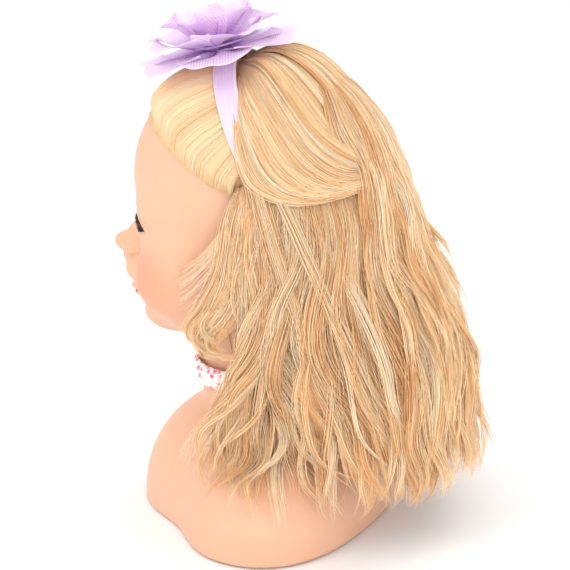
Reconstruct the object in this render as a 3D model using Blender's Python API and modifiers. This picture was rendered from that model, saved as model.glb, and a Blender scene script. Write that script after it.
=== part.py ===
"""Child's hair-styling doll head on a bust: vinyl head and shoulders, fixed eyes, long rooted hair, a ribbon
headband with a gauze flower, and a fabric choker over the neck joint.

Frame: metres, +Z up, the face towards -Y, the head's left side at +X. The origin is on the surface that the
bust stands on, under the neck's turning axis. Sizes below are in millimetres unless a name ends in _deg.
"""

import math

import bpy
import bmesh
import numpy as np
from mathutils import Matrix, Vector

MM = 0.001

# ---- driving dimensions ------------------------------------------------------------------------------------
WALL = 3.0  # vinyl of the head and the bust
GAP = 0.35  # between touching pieces
NECK_RADIUS = 25.5
NECK_JOINT_Z = 80.0  # where the head meets the bust, under the choker
HAIR_SPLIT_Z = 96.0  # hair above it turns with the head, hair below it rests on the bust
NAPE_Y = 34.0  # the side hair ends and the back hair starts here
HEAD_CENTRE = (0.0, -5.0, 172.0)
BUST_CENTRE = (0.0, 14.0, 0.0)

STEM_RADIUS = 14.0
PLUG_RADIUS = 19.5
PLUG_GROOVE = 16.5  # the head's vinyl lip sits in this groove
PLUG_NOSE = 6.0  # how far the plug reaches past the lip, with its leading edge broken
PLUG_CHAMFER = 1.0
SCREW_BORE = 3.2
RETAINER_RADIUS = 18.5
WASHER_THICKNESS = 0.8
RETAINER_THICKNESS = 3.0

PLATE_THICKNESS = 3.0
PAD_RADIUS = 9.0
PAD_THICKNESS = 1.2

EYE_CENTRE = (21.0, -44.5, 171.5)
EYE_RADIUS = 11.5
EYE_POCKET = 0.3
LID_THICKNESS = 1.3
EYE_OPENING = (10.3, 9.0, 5.6)
CORNEA_RADIUS = 6.2
CORNEA_PROUD = 1.3

BAND_NORMAL = (0.0, 0.935, 0.355)  # the headband lies in a plane that leans back over the crown
BAND_POINT = (0.0, -9.0, 265.0)
BAND_WIDTH = 13.0
BAND_CORE = 1.0
BAND_RIBBON = 0.8

HAIRLINE_NORMAL = (0.0, 0.514, 0.857)  # the hairline plane rises towards the forehead
HAIRLINE_POINT = (0.0, 0.0, 203.0)

FLOWER_CENTRE = (3.0, -14.0, 275.5)
FLOWER_LEAN_deg = 13.0

CHOKER_BOTTOM_Z = 75.2
CHOKER_TOP_Z = 88.0
CHOKER_INNER = 28.1
CHOKER_OUTER = 31.6

# ---- the modelled volumes: name, centre, radii, lean about X in degrees, blend with what comes before -------
HEAD_FORMS = (
    ("cranium", (0, -1, 199), (56.5, 63.0, 63.5), 0, 0),
    ("face", (0, -13, 153), (49, 48, 46), 0, 14),
    ("jaw", (0, -17, 128), (42, 37, 25), 0, 12),
    ("chin", (0, -44.5, 113.5), (16, 17, 11.5), 0, 11),
    ("muzzle", (0, -50, 138), (15, 23, 12), 0, 9),
    ("nose_ridge", (0, -61, 163), (5.0, 8.5, 14), 28, 8),
    ("nose_tip", (0, -72.5, 154.2), (6.0, 7.2, 5.8), 0, 5),
    ("lips", (0, -58, 126.5), (12, 11.0, 5.0), 0, 3),
    ("neck", (0, 0, 95), (NECK_RADIUS, NECK_RADIUS, 70), 0, 6),
)
HEAD_PAIRS = (
    ("cheek", (24, -37, 141), (21, 21.5, 21), 0, 8),
    ("nostril_wing", (6.2, -67.5, 151), (4.4, 5.5, 4.2), 0, 3),
    ("brow", (20, -43, 183), (19, 12, 8), 0, 9),
    ("eyelid", EYE_CENTRE, (EYE_RADIUS + LID_THICKNESS,) * 3, 0, 4),
    ("ear", (50, 9, 162), (9, 11, 15), 0, 6),
)
BUST_FORMS = (
    ("chest", (0, -14, 4), (56, 47, 58), 0, 0),
    ("back", (0, 40, 4), (66, 48, 66), 0, 10),
    ("neck_root", (0, 3, 43), (34, 34, 26), 0, 14),
    ("neck", (0, 0, 60), (NECK_RADIUS, NECK_RADIUS, 100), 0, 6),
)
BUST_PAIRS = (("shoulder", (54, 24, 8), (46, 45, 50), 0, 9),)
HAIR_FORMS = (
    ("cap", (0, 2, 202), (62.5, 68.5, 66.5), 0, 0),
    ("crown", (0, 22, 213), (59, 50, 62), 0, 6),
    ("fall", (0, 46, 150), (64, 54, 92), 0, 18),
    ("spread", (0, 62, 95), (76, 62, 80), 0, 18),
)
HAIR_PAIRS = (("side", (42, 10, 138), (31, 38, 78), 0, 10),)


# ---- shapes -------------------------------------------------------------------------------------------------
def ellipsoid_distance(points, centre, radii, lean_deg):
    """Signed distance to an ellipsoid, near enough for blending."""
    p = points - np.array(centre, float)
    if lean_deg:
        c, s = math.cos(math.radians(lean_deg)), math.sin(math.radians(lean_deg))
        y, z = p[..., 1] * c - p[..., 2] * s, p[..., 1] * s + p[..., 2] * c
        p = np.stack([p[..., 0], y, z], axis=-1)
    radii = np.array(radii, float)
    scaled = np.linalg.norm(p / radii, axis=-1)
    slope = np.linalg.norm(p / radii**2, axis=-1)
    return scaled * (scaled - 1) / np.maximum(slope, 1e-9)


def smooth_union(a, b, blend):
    if blend <= 0:
        return np.minimum(a, b)
    h = np.clip(0.5 + 0.5 * (b - a) / blend, 0, 1)
    return b * (1 - h) + a * h - blend * h * (1 - h)


def blended_forms(points, forms, pairs):
    """The smooth union of single forms and of forms mirrored in the X = 0 plane."""
    total = None
    for _, centre, radii, lean, blend in forms:
        d = ellipsoid_distance(points, centre, radii, lean)
        total = d if total is None else smooth_union(total, d, blend)
    half = points.copy()
    half[..., 0] = np.abs(half[..., 0])
    for _, centre, radii, lean, blend in pairs:
        total = smooth_union(total, ellipsoid_distance(half, centre, radii, lean), blend)
    return total


def head_field(points):
    return blended_forms(points, HEAD_FORMS, HEAD_PAIRS)


def bust_field(points):
    return blended_forms(points, BUST_FORMS, BUST_PAIRS)


def hair_field(points):
    return blended_forms(points, HAIR_FORMS, HAIR_PAIRS)


def outermost(field, centre, directions, reach=170.0, offset=0.0):
    """Where each ray from the centre last leaves a field's surface, in millimetres."""
    centre = np.array(centre, float)
    inside = np.full(len(directions), 5.0)
    outside = np.full(len(directions), reach)
    found = np.zeros(len(directions), bool)
    last = reach
    for t in np.linspace(reach, 5.0, 90)[1:]:
        hit = (field(centre + directions * t) < offset) & ~found
        inside[hit] = t
        outside[hit] = last
        found |= hit
        last = t
    for _ in range(16):
        middle = (inside + outside) / 2
        within = field(centre + directions * middle[:, None]) < offset
        inside = np.where(within, middle, inside)
        outside = np.where(within, outside, middle)
    return centre + directions * ((inside + outside) / 2)[:, None]


# ---- Blender helpers ----------------------------------------------------------------------------------------
def clear_scene():
    for thing in list(bpy.data.objects):
        bpy.data.objects.remove(thing, do_unlink=True)
    for name in ("styling_head", "cutters"):
        old = bpy.data.collections.get(name)
        if old:
            bpy.data.collections.remove(old)
        bpy.context.scene.collection.children.link(bpy.data.collections.new(name))


def material(name, colour, roughness, metallic=0.0):
    made = bpy.data.materials.get(name) or bpy.data.materials.new(name)
    made.use_nodes = True
    shader = made.node_tree.nodes["Principled BSDF"]
    shader.inputs["Base Color"].default_value = (*colour, 1)
    shader.inputs["Roughness"].default_value = roughness
    shader.inputs["Metallic"].default_value = metallic
    made.diffuse_color = (*colour, 1)
    return made


def keep(thing, name, look, smooth=True):
    """Names a sub-part, gives it its material and puts it in the object's collection."""
    thing.name = name
    thing.data.name = name
    for old in list(thing.users_collection):
        old.objects.unlink(thing)
    bpy.data.collections["styling_head"].objects.link(thing)
    thing.data.materials.clear()
    thing.data.materials.append(look)
    if thing.type == "MESH" and smooth:
        thing.data.shade_smooth()
        thing.data.set_sharp_from_angle(angle=math.radians(40))
    return thing


def as_cutter(thing, name):
    thing.name = name
    for old in list(thing.users_collection):
        old.objects.unlink(thing)
    bpy.data.collections["cutters"].objects.link(thing)
    thing.hide_render = True
    thing.display_type = "WIRE"
    return thing


def boolean(thing, cutter, operation="DIFFERENCE"):
    cut = thing.modifiers.new(operation.lower(), "BOOLEAN")
    cut.operation = operation
    cut.object = cutter
    cut.solver = "EXACT"


def sphere_on(field, centre, segments, rings, offset=0.0, reach=170.0):
    """A UV sphere whose vertices are drawn out to a field's surface."""
    bpy.ops.mesh.primitive_uv_sphere_add(segments=segments, ring_count=rings, radius=1)
    thing = bpy.context.object
    directions = np.array([v.co.normalized()[:] for v in thing.data.vertices])
    points = outermost(field, centre, directions, reach, offset) * MM
    for vertex, point in zip(thing.data.vertices, points):
        vertex.co = point
    return thing


def ball(centre, radii, segments=24, rings=14):
    bpy.ops.mesh.primitive_uv_sphere_add(segments=segments, ring_count=rings, radius=1)
    thing = bpy.context.object
    place = Matrix.Translation(Vector(centre) * MM) @ Matrix.Diagonal((*[r * MM for r in radii], 1))
    thing.data.transform(place)
    return thing


def cylinder(centre, radius, height, segments=24):
    bpy.ops.mesh.primitive_cylinder_add(
        vertices=segments, radius=radius * MM, depth=height * MM, location=Vector(centre) * MM
    )
    return bpy.context.object


def turned(name, profile, look, segments=28):
    """A profile of (radius, height) points, turned about the neck axis, its outer side running downwards."""
    mesh = bpy.data.meshes.new(name)
    points = [(r * MM, 0, z * MM) for r, z in profile]
    edges = [(i, i + 1) for i in range(len(points) - 1)]
    if profile[0][0] > 0:
        edges.append((len(points) - 1, 0))
    mesh.from_pydata(points, edges, [])
    thing = bpy.data.objects.new(name, mesh)
    bpy.context.scene.collection.objects.link(thing)
    screw = thing.modifiers.new("turn", "SCREW")
    screw.axis = "Z"
    screw.steps = segments
    screw.render_steps = segments
    screw.use_merge_vertices = True
    screw.merge_threshold = 0.00005
    screw.use_normal_calculate = False
    return keep(thing, name, look)


def half_space_block(name, planes, size=700.0):
    """A large block cut down to the side that each (point, normal) plane's normal points away from."""
    bpy.ops.mesh.primitive_cube_add(size=size * MM, location=(0, 0, 0))
    block = bpy.context.object
    block.data.transform(Matrix.Translation((0, 0, 0.1)))
    mesh = bmesh.new()
    mesh.from_mesh(block.data)
    for point, normal in planes:
        geometry = mesh.verts[:] + mesh.edges[:] + mesh.faces[:]
        bmesh.ops.bisect_plane(
            mesh,
            geom=geometry,
            plane_co=Vector(point) * MM,
            plane_no=Vector(normal),
            clear_outer=True,
            dist=1e-7,
        )
        bmesh.ops.holes_fill(mesh, edges=mesh.edges[:], sides=0)
    bmesh.ops.recalc_face_normals(mesh, faces=mesh.faces[:])
    mesh.to_mesh(block.data)
    mesh.free()
    return as_cutter(block, name)


def smooth_patch(name, across, along, place, thickness, look):
    """A grid laid by place(u, v), u and v from 0 to 1, and thickened outwards."""
    bpy.ops.mesh.primitive_grid_add(x_subdivisions=across, y_subdivisions=along, size=1)
    thing = bpy.context.object
    for vertex in thing.data.vertices:
        vertex.co = Vector(place(vertex.co.x + 0.5, vertex.co.y + 0.5)) * MM
    shell = thing.modifiers.new("thickness", "SOLIDIFY")
    shell.thickness = thickness * MM
    shell.offset = 1
    return keep(thing, name, look)


def cap_neck(shell, name, end, inward, hole_radius):
    """Cuts a neck off level and closes it with a flat wall that has a round hole; inward is +1 for up."""
    spare = 4.0
    disc = cylinder((0, 0, end + inward * (WALL - spare) / 2), NECK_RADIUS - 0.6 * WALL, WALL + spare, 28)
    boolean(shell, as_cutter(disc, name), "UNION")
    boolean(shell, half_space_block(f"{name}_cut", [((0, 0, end), (0, 0, inward))]))
    hole = cylinder((0, 0, end + inward * WALL / 2), hole_radius, 3 * WALL, 28)
    boolean(shell, as_cutter(hole, f"{name}_hole"))


# ---- the bust -----------------------------------------------------------------------------------------------
def build_bust(vinyl, plastic, rubber):
    shell = sphere_on(bust_field, BUST_CENTRE, 40, 26)
    shell_thickness = shell.modifiers.new("wall", "SOLIDIFY")
    shell_thickness.thickness = WALL * MM
    shell_thickness.offset = -1
    boolean(shell, half_space_block("below_surface", [((0, 0, 0), (0, 0, 1))]))
    cap_neck(shell, "bust_neck_end", NECK_JOINT_Z, -1, STEM_RADIUS + GAP)
    keep(shell, "bust_shell", vinyl)

    count = 48
    turns = [2 * math.pi * i / count for i in range(count)]
    rays = np.array([(math.cos(a), math.sin(a), 0) for a in turns])
    inner = outermost(bust_field, BUST_CENTRE, rays, offset=-(WALL + 3 * GAP))
    outline = bpy.data.curves.new("base_plate", "CURVE")
    outline.dimensions = "2D"
    outline.fill_mode = "BOTH"
    outline.extrude = PLATE_THICKNESS / 2 * MM
    spline = outline.splines.new("POLY")
    spline.points.add(count - 1)
    for point, (x, y, _) in zip(spline.points, inner):
        point.co = (x * MM, y * MM, 0, 1)
    spline.use_cyclic_u = True
    flat = bpy.data.objects.new("base_plate_outline", outline)
    bpy.context.scene.collection.objects.link(flat)
    flat.location.z = PLATE_THICKNESS / 2 * MM
    plate = mesh_of_curve(flat)
    keep(plate, "base_plate", plastic, smooth=False)

    for side, x in (("left", 1), ("right", -1)):
        for end, y in (("front", -22), ("rear", 58)):
            spot = (x * 44 * (0.62 if end == "front" else 1.0), y)
            pocket = cylinder((*spot, PAD_THICKNESS / 2), PAD_RADIUS + GAP, PAD_THICKNESS + 2 * GAP)
            boolean(plate, as_cutter(pocket, f"pad_pocket_{end}_{side}"))
            pad = cylinder((*spot, PAD_THICKNESS / 2), PAD_RADIUS, PAD_THICKNESS)
            keep(pad, f"foot_pad_{end}_{side}", rubber)


def mesh_of_curve(curve):
    """The filled curve as a closed mesh, so that it takes Booleans."""
    view = bpy.context.evaluated_depsgraph_get()
    mesh = bpy.data.meshes.new_from_object(curve.evaluated_get(view))
    closed = bmesh.new()
    closed.from_mesh(mesh)
    bmesh.ops.remove_doubles(closed, verts=closed.verts[:], dist=1e-6)
    bmesh.ops.recalc_face_normals(closed, faces=closed.faces[:])
    closed.to_mesh(mesh)
    closed.free()
    solid = bpy.data.objects.new(curve.name + "_mesh", mesh)
    solid.matrix_world = Matrix.Translation(curve.location)
    bpy.context.scene.collection.objects.link(solid)
    bpy.data.objects.remove(curve)
    return solid


# ---- the neck joint -----------------------------------------------------------------------------------------
def build_neck(plastic, steel):
    lip_bottom = NECK_JOINT_Z + WASHER_THICKNESS + 2 * GAP
    lip_top = lip_bottom + WALL
    stem_bottom = NECK_JOINT_Z - WALL - GAP
    plug_profile = (
        (SCREW_BORE, stem_bottom),
        (SCREW_BORE, lip_top + PLUG_NOSE),
        (PLUG_RADIUS - PLUG_CHAMFER, lip_top + PLUG_NOSE),
        (PLUG_RADIUS, lip_top + PLUG_NOSE - PLUG_CHAMFER),
        (PLUG_RADIUS, lip_top + GAP),
        (PLUG_GROOVE, lip_top + GAP),
        (PLUG_GROOVE, lip_bottom),
        (STEM_RADIUS, lip_bottom),
        (STEM_RADIUS, stem_bottom),
    )
    turned("neck_plug", plug_profile, plastic)
    washer_low = NECK_JOINT_Z + GAP
    washer_high = washer_low + WASHER_THICKNESS
    inner, outer = STEM_RADIUS + GAP, NECK_RADIUS - 2
    washer = ((inner, washer_high), (outer, washer_high), (outer, washer_low), (inner, washer_low))
    turned("neck_washer", washer, plastic)
    top = stem_bottom - GAP
    low = top - RETAINER_THICKNESS
    retainer = ((SCREW_BORE, top), (RETAINER_RADIUS, top), (RETAINER_RADIUS, low), (SCREW_BORE, low))
    turned("neck_retainer", retainer, plastic)
    head_top = low - GAP
    screw = (
        (0.0, head_top + 16), (1.4, head_top + 16), (2.6, head_top + 14), (2.6, head_top), (5.2, head_top),
        (4.2, head_top - 2.2), (0.0, head_top - 2.6),
    )
    pivot = turned("neck_screw", screw, steel, 20)
    slot = cylinder((0, 0, head_top - 2.6), 1.0, 1.6, 6)
    boolean(pivot, as_cutter(slot, "screw_drive"))


# ---- the head -----------------------------------------------------------------------------------------------
def build_head(vinyl, white, clear, lash):
    shell = sphere_on(head_field, HEAD_CENTRE, 32, 24, reach=110)
    wall = shell.modifiers.new("wall", "SOLIDIFY")
    wall.thickness = WALL * MM
    wall.offset = -1
    neck_end = NECK_JOINT_Z + WASHER_THICKNESS + 2 * GAP
    cap_neck(shell, "head_neck_end", neck_end, 1, PLUG_GROOVE + GAP)
    keep(shell, "head_shell", vinyl)
    for side, s in (("left", 1), ("right", -1)):
        centre = (s * EYE_CENTRE[0], EYE_CENTRE[1], EYE_CENTRE[2])
        pocket = ball(centre, (EYE_RADIUS + EYE_POCKET,) * 3, 20, 12)
        boolean(shell, as_cutter(pocket, f"eye_pocket_{side}"))
        window = ball((centre[0], centre[1] - EYE_RADIUS, centre[2]), EYE_OPENING, 16, 10)
        boolean(shell, as_cutter(window, f"eye_window_{side}"))

        behind = half_space_block(f"eye_back_{side}", [((0, centre[1] + 2, 0), (0, -1, 0))])
        eye = ball(centre, (EYE_RADIUS,) * 3, 20, 12)
        boolean(eye, behind)
        keep(eye, f"eye_{side}", white)
        dome_centre = (centre[0], centre[1] - EYE_RADIUS - CORNEA_PROUD + CORNEA_RADIUS, centre[2])
        dome = ball(dome_centre, (CORNEA_RADIUS,) * 3, 16, 10)
        boolean(dome, as_cutter(ball(centre, (EYE_RADIUS + 0.1,) * 3, 20, 12), f"cornea_bed_{side}"))
        keep(dome, f"cornea_{side}", clear)
        build_lashes(side, s, centre, lash)


def build_lashes(side, s, centre, lash):
    """A strip of lashes that stands out from the upper lid."""
    lid_clearance = 1.3
    length = 3.2

    def place(u, v):
        turn = math.radians(-34 + 70 * u)
        lift = math.radians(22 - 9 * (2 * u - 1) ** 2)
        out = np.array((s * math.sin(turn), -math.cos(turn), 0.0)) * math.cos(lift)
        out[2] = math.sin(lift)
        root = outermost(head_field, centre, out[None, :], reach=40, offset=lid_clearance)[0]
        return root + out * length * v + np.array((0, 0, 0.8 * v))

    smooth_patch(f"eyelashes_{side}", 9, 2, place, 0.5, lash)


# ---- the hair -----------------------------------------------------------------------------------------------
def build_head_hair(blonde):
    """The hair that turns with the head: a soft shell over the scalp, parted into its combed sections."""
    scalp = as_cutter(sphere_on(head_field, HEAD_CENTRE, 32, 24, offset=2.4, reach=110), "scalp")
    half = GAP
    above_split = ((0, 0, HAIR_SPLIT_Z), (0, 0, -1))
    band_front = ((0, BAND_POINT[1] - half, BAND_POINT[2]), BAND_NORMAL)
    band_rear = ((0, BAND_POINT[1] + half, BAND_POINT[2]), tuple(-n for n in BAND_NORMAL))
    twist_high = ((0, 40, 186 + half), (0, -0.1, -1))
    twist_low = ((0, 40, 186 - half), (0, 0.1, 1))
    side_ends = (((0, -14, 0), (0, -1, 0)), ((0, NAPE_Y, 0), (0, 1, 0)))
    sections = {
        "hair_front": [band_front, (HAIRLINE_POINT, tuple(-n for n in HAIRLINE_NORMAL))],
        "hair_crown": [band_rear, twist_high],
        "hair_side_left": [twist_low, above_split, ((GAP, 0, 0), (-1, 0, 0)), *side_ends],
        "hair_side_right": [twist_low, above_split, ((-GAP, 0, 0), (1, 0, 0)), *side_ends],
        "hair_back": [twist_low, above_split, ((0, NAPE_Y + 2 * GAP, 0), (0, -1, 0))],
    }
    for name, planes in sections.items():
        mass = sphere_on(hair_field, HEAD_CENTRE, 24, 16)
        boolean(mass, scalp)
        boolean(mass, half_space_block(f"{name}_bounds", planes), "INTERSECT")
        keep(mass, name, blonde)


def build_bust_hair(blonde):
    """The lengths that lie on the shoulders and hang behind the bust."""
    shoulders = as_cutter(sphere_on(bust_field, BUST_CENTRE, 40, 26, offset=1.7), "shoulders")
    collar = as_cutter(cylinder((0, 0, 80), CHOKER_OUTER + 1.0, 44), "collar")
    below_split = ((0, 0, HAIR_SPLIT_Z - 2 * GAP), (0, 0, 1))
    off_surface = ((0, 0, 3), (0, 0, -1))
    lengths = (
        ("hair_lengths_back", (0, 74.5, 62.3), (72, 64, 68), ((0, NAPE_Y, 0), (0, -1, 0))),
        ("hair_lock_left", (50, 3, 66), (36, 40, 42), ((0, NAPE_Y - 2 * GAP, 0), (0, 1, 0))),
        ("hair_lock_right", (-50, 3, 66), (36, 40, 42), ((0, NAPE_Y - 2 * GAP, 0), (0, 1, 0))),
    )
    for name, centre, radii, edge in lengths:
        mass = ball(centre, radii, 20, 12)
        boolean(mass, half_space_block(f"{name}_bounds", [below_split, off_surface, edge]), "INTERSECT")
        boolean(mass, shoulders)
        if "lock" in name:
            boolean(mass, collar)
        keep(mass, name, blonde)


# ---- the headband, flower and choker ------------------------------------------------------------------------
def band_patch(name, width, lift, thickness, look):
    """A strip laid over the hair in the headband's plane, down to the same height on both sides."""
    normal = np.array(BAND_NORMAL)
    side = np.array((1.0, 0.0, 0.0))
    up = np.cross(side, normal)
    up = up if up[2] > 0 else -up
    point = np.array(BAND_POINT)
    hub = np.array(HEAD_CENTRE) + normal * np.dot(point - np.array(HEAD_CENTRE), normal)
    sweep = math.radians(76)

    def place(u, v):
        angle = (2 * u - 1) * sweep
        out = side * math.sin(angle) + up * math.cos(angle)
        start = hub + normal * (v - 0.5) * width
        hit = outermost(hair_field, start, out[None, :], reach=110)[0]
        return hit + out * lift

    smooth_patch(name, 24, 2, place, thickness, look)


def petal_ring(name, radius, lobes, cup, height, turn, look):
    """One gathered layer of gauze: a lobed, cupped sheet."""
    lean = Matrix.Translation(Vector(FLOWER_CENTRE) + Vector((0, 0, height)))
    lean = lean @ Matrix.Rotation(math.radians(FLOWER_LEAN_deg), 4, "X")

    bpy.ops.mesh.primitive_circle_add(vertices=lobes * 6, radius=1, fill_type="TRIFAN")
    disc = bpy.context.object
    mesh = bmesh.new()
    mesh.from_mesh(disc.data)
    bmesh.ops.subdivide_edges(mesh, edges=[e for e in mesh.edges if not e.is_boundary], cuts=1)
    for vertex in mesh.verts:
        r = math.hypot(vertex.co.x, vertex.co.y)
        a = math.atan2(vertex.co.y, vertex.co.x)
        lobe = 1 + 0.12 * math.cos(lobes * (a + turn))
        flat = Vector((vertex.co.x * radius * lobe, vertex.co.y * radius * lobe, cup * r**2))
        vertex.co = (lean @ flat) * MM
    mesh.to_mesh(disc.data)
    mesh.free()
    shell = disc.modifiers.new("gauze", "SOLIDIFY")
    shell.thickness = 1.0 * MM
    shell.offset = 1
    keep(disc, name, look)


def build_flower(gauze, felt):
    lean = Matrix.Rotation(math.radians(FLOWER_LEAN_deg), 4, "X")

    def on_axis(height):
        return Vector(FLOWER_CENTRE) + (lean @ Vector((0, 0, height)))

    backing = cylinder((0, 0, 0), 14.0, 1.0, 28)
    backing.rotation_euler = (math.radians(FLOWER_LEAN_deg), 0, 0)
    backing.location = on_axis(-1.2) * MM
    keep(backing, "flower_backing", felt)
    petal_ring("flower_petals_outer", 37.0, 6, 9.0, 0.6, 0.0, gauze)
    petal_ring("flower_petals_middle", 30.0, 5, 13.0, 3.0, 0.4, gauze)
    petal_ring("flower_petals_inner", 20.0, 5, 14.0, 6.0, 0.9, gauze)
    heart = ball(on_axis(12.0), (5.0, 5.0, 4.0), 16, 10)
    keep(heart, "flower_heart", gauze)


def build_choker(print_cloth, plastic):
    """The gathered band is open at the nape, where a press stud closes it."""
    middle = (CHOKER_INNER + CHOKER_OUTER) / 2
    tall = CHOKER_TOP_Z - CHOKER_BOTTOM_Z
    profile = []
    for i in range(8):
        a = -2 * math.pi * i / 8
        r = middle + (CHOKER_OUTER - CHOKER_INNER) / 2 * math.cos(a)
        profile.append((r, CHOKER_BOTTOM_Z + tall / 2 + tall / 2 * math.sin(a)))
    band = turned("choker_band", profile, print_cloth, 36)
    gap = cylinder((0, middle, CHOKER_BOTTOM_Z + tall / 2), 3.4, tall + 2, 20)
    boolean(band, as_cutter(gap, "choker_opening"))
    stud = cylinder((0, middle, CHOKER_BOTTOM_Z + tall / 2), 2.8, 3.0, 20)
    stud.rotation_euler = (math.radians(90), 0, 0)
    keep(stud, "choker_stud", plastic)


def main():
    clear_scene()
    vinyl = material("peach_vinyl", (0.93, 0.67, 0.50), 0.42)
    shell_plastic = material("ivory_plastic", (0.85, 0.80, 0.72), 0.4)
    rubber = material("clear_grey_rubber", (0.35, 0.35, 0.36), 0.8)
    steel = material("steel_screw", (0.62, 0.62, 0.64), 0.3, 1.0)
    white = material("eye_acrylic", (0.93, 0.92, 0.90), 0.1)
    iris = material("brown_cornea", (0.16, 0.07, 0.03), 0.05)
    lash = material("lash_brown", (0.06, 0.03, 0.02), 0.6)
    blonde = material("blonde_hair", (0.85, 0.60, 0.32), 0.45)
    ribbon = material("lilac_ribbon", (0.82, 0.66, 0.90), 0.45)
    gauze = material("lilac_gauze", (0.72, 0.48, 0.86), 0.6)
    felt = material("pink_felt", (0.86, 0.60, 0.66), 0.9)
    floral = material("floral_cotton", (0.92, 0.78, 0.80), 0.8)
    build_bust(vinyl, shell_plastic, rubber)
    build_neck(shell_plastic, steel)
    build_head(vinyl, white, iris, lash)
    build_head_hair(blonde)
    build_bust_hair(blonde)
    core_lift = 1.4
    band_patch("headband_core", BAND_WIDTH - 3, core_lift, BAND_CORE, shell_plastic)
    band_patch("headband_ribbon", BAND_WIDTH, core_lift + BAND_CORE + 3 * GAP, BAND_RIBBON, ribbon)
    build_flower(gauze, felt)
    build_choker(floral, shell_plastic)


main()
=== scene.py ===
"""The looks of the doll styling head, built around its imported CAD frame.

+Z is up, the face looks towards -Y and the head's left side is at +X. Shapes are worked out in millimetres, and
mesh_object turns them into metres. Names that end in _m, flat sizes, lamps and the camera are in metres.
"""

import math

import bpy
import numpy as np
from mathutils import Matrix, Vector


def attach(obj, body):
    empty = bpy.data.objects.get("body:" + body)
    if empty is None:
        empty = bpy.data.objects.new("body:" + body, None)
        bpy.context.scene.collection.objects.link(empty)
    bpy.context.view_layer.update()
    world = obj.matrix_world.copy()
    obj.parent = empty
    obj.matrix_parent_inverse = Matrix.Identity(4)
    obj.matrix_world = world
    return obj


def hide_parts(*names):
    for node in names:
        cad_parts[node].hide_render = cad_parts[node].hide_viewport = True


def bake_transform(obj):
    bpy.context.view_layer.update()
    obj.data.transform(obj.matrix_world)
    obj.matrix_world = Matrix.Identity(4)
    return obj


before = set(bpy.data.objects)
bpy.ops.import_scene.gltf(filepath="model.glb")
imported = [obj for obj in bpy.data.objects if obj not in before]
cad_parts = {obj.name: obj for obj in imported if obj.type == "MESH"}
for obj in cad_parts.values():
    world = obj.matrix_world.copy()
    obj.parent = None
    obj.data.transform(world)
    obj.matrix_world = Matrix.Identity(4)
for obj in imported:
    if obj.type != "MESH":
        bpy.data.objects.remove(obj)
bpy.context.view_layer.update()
MM = 0.001

# ---- driving dimensions and forms in millimetres ----
# They are the CAD's, but for finer lips, softer shoulders, a band that leans further back, a lower flower, and
# the lengths of hair, which are solids of their own in the CAD.
NECK_RADIUS = 25.5
NECK_JOINT_Z = 80.0
HEAD_NECK_END_Z = 81.5
HEAD_CENTRE = (0.0, -5.0, 172.0)
BUST_CENTRE = (0.0, 14.0, 0.0)
EYE_CENTRE = (21.0, -44.5, 171.5)
EYE_RADIUS = 11.5
LID_RADIUS = EYE_RADIUS + 1.3
BAND_SLOPE = 0.55  # how far the band runs back for each millimetre that it drops
BAND_NORMAL = (0.0, 0.876, 0.482)  # square to that slope
BAND_POINT = (0.0, -5.0, 265.0)
BAND_WIDTH = 12.5
HAIRLINE_NORMAL = (0.0, 0.514, 0.857)
HAIRLINE_POINT = (0.0, 0.0, 203.0)
FLOWER_CENTRE = (3.0, -14.5, 270.5)
FLOWER_LEAN_deg = 13.0
CORE_TOP_Z = 178.0  # the polar coordinates of the hair turn from a cylinder into a dome at this height
RIM_Z = 1.6  # nothing soft goes lower than this

HEAD_FORMS = (
    ((0, -1, 199), (56.5, 63.0, 63.5), 0, 0),  # cranium
    ((0, -13, 153), (49, 48, 46), 0, 14),  # face
    ((0, -17, 128), (42, 37, 25), 0, 12),  # jaw
    ((0, -44.5, 113.5), (16, 17, 11.5), 0, 11),  # chin
    ((0, -50, 138), (15, 23, 12), 0, 9),  # muzzle
    ((0, -61, 163), (5.0, 8.5, 14), 28, 8),  # ridge of the nose
    ((0, -72.5, 154.2), (6.0, 7.2, 5.8), 0, 5),  # tip of the nose
    ((0, -65.0, 145.5), (5.5, 9.3, 5.5), 0, 4),  # under the nose
    ((0, -60.3, 128.4), (11.5, 9.2, 2.5), 0, 2.5),  # upper lip
    ((0, -59.3, 124.3), (10.0, 8.4, 2.5), 0, 2.2),  # lower lip
    ((0, 0, 95), (NECK_RADIUS, NECK_RADIUS, 70), 0, 6),  # neck
)  # centre, radii, lean in degrees and the width of the blend with the forms before
HEAD_PAIRS = (
    ((24, -37, 141), (21, 21.5, 21), 0, 8),  # cheek
    ((6.2, -67.5, 151), (4.4, 5.5, 4.2), 0, 3),  # wing of the nose
    ((20, -43, 183), (19, 12, 8), 0, 9),  # brow
    (EYE_CENTRE, (LID_RADIUS,) * 3, 0, 4),  # eyelids
    ((50, 9, 162), (9, 11, 15), 0, 6),  # ear
)
BUST_FORMS = (
    ((0, -14, 4), (56, 47, 58), 0, 0),  # chest
    ((0, 40, 4), (66, 48, 66), 0, 10),  # back
    ((0, 3, 43), (34, 34, 26), 0, 14),  # root of the neck
    ((0, 0, 60), (NECK_RADIUS, NECK_RADIUS, 100), 0, 6),  # neck
)
BUST_PAIRS = (((54, 24, 8), (46, 45, 50), 0, 24),)  # shoulder
HAIR_FORMS = (
    ((0, 2, 202), (62.5, 68.5, 66.5), 0, 0),  # cap
    ((0, 22, 213), (59, 50, 62), 0, 6),  # crown
    ((0, 46, 150), (64, 54, 92), 0, 18),  # fall
    ((0, 62, 95), (76, 62, 80), 0, 18),  # spread
    ((0, 74, 62), (70, 62, 66), 0, 10),  # lengths behind the bust
)
HAIR_PAIRS = (
    ((42, 10, 138), (31, 38, 78), 0, 10),  # side
    ((50, 3, 66), (35, 39, 41), 0, 8),  # lock on the shoulder
)


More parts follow.
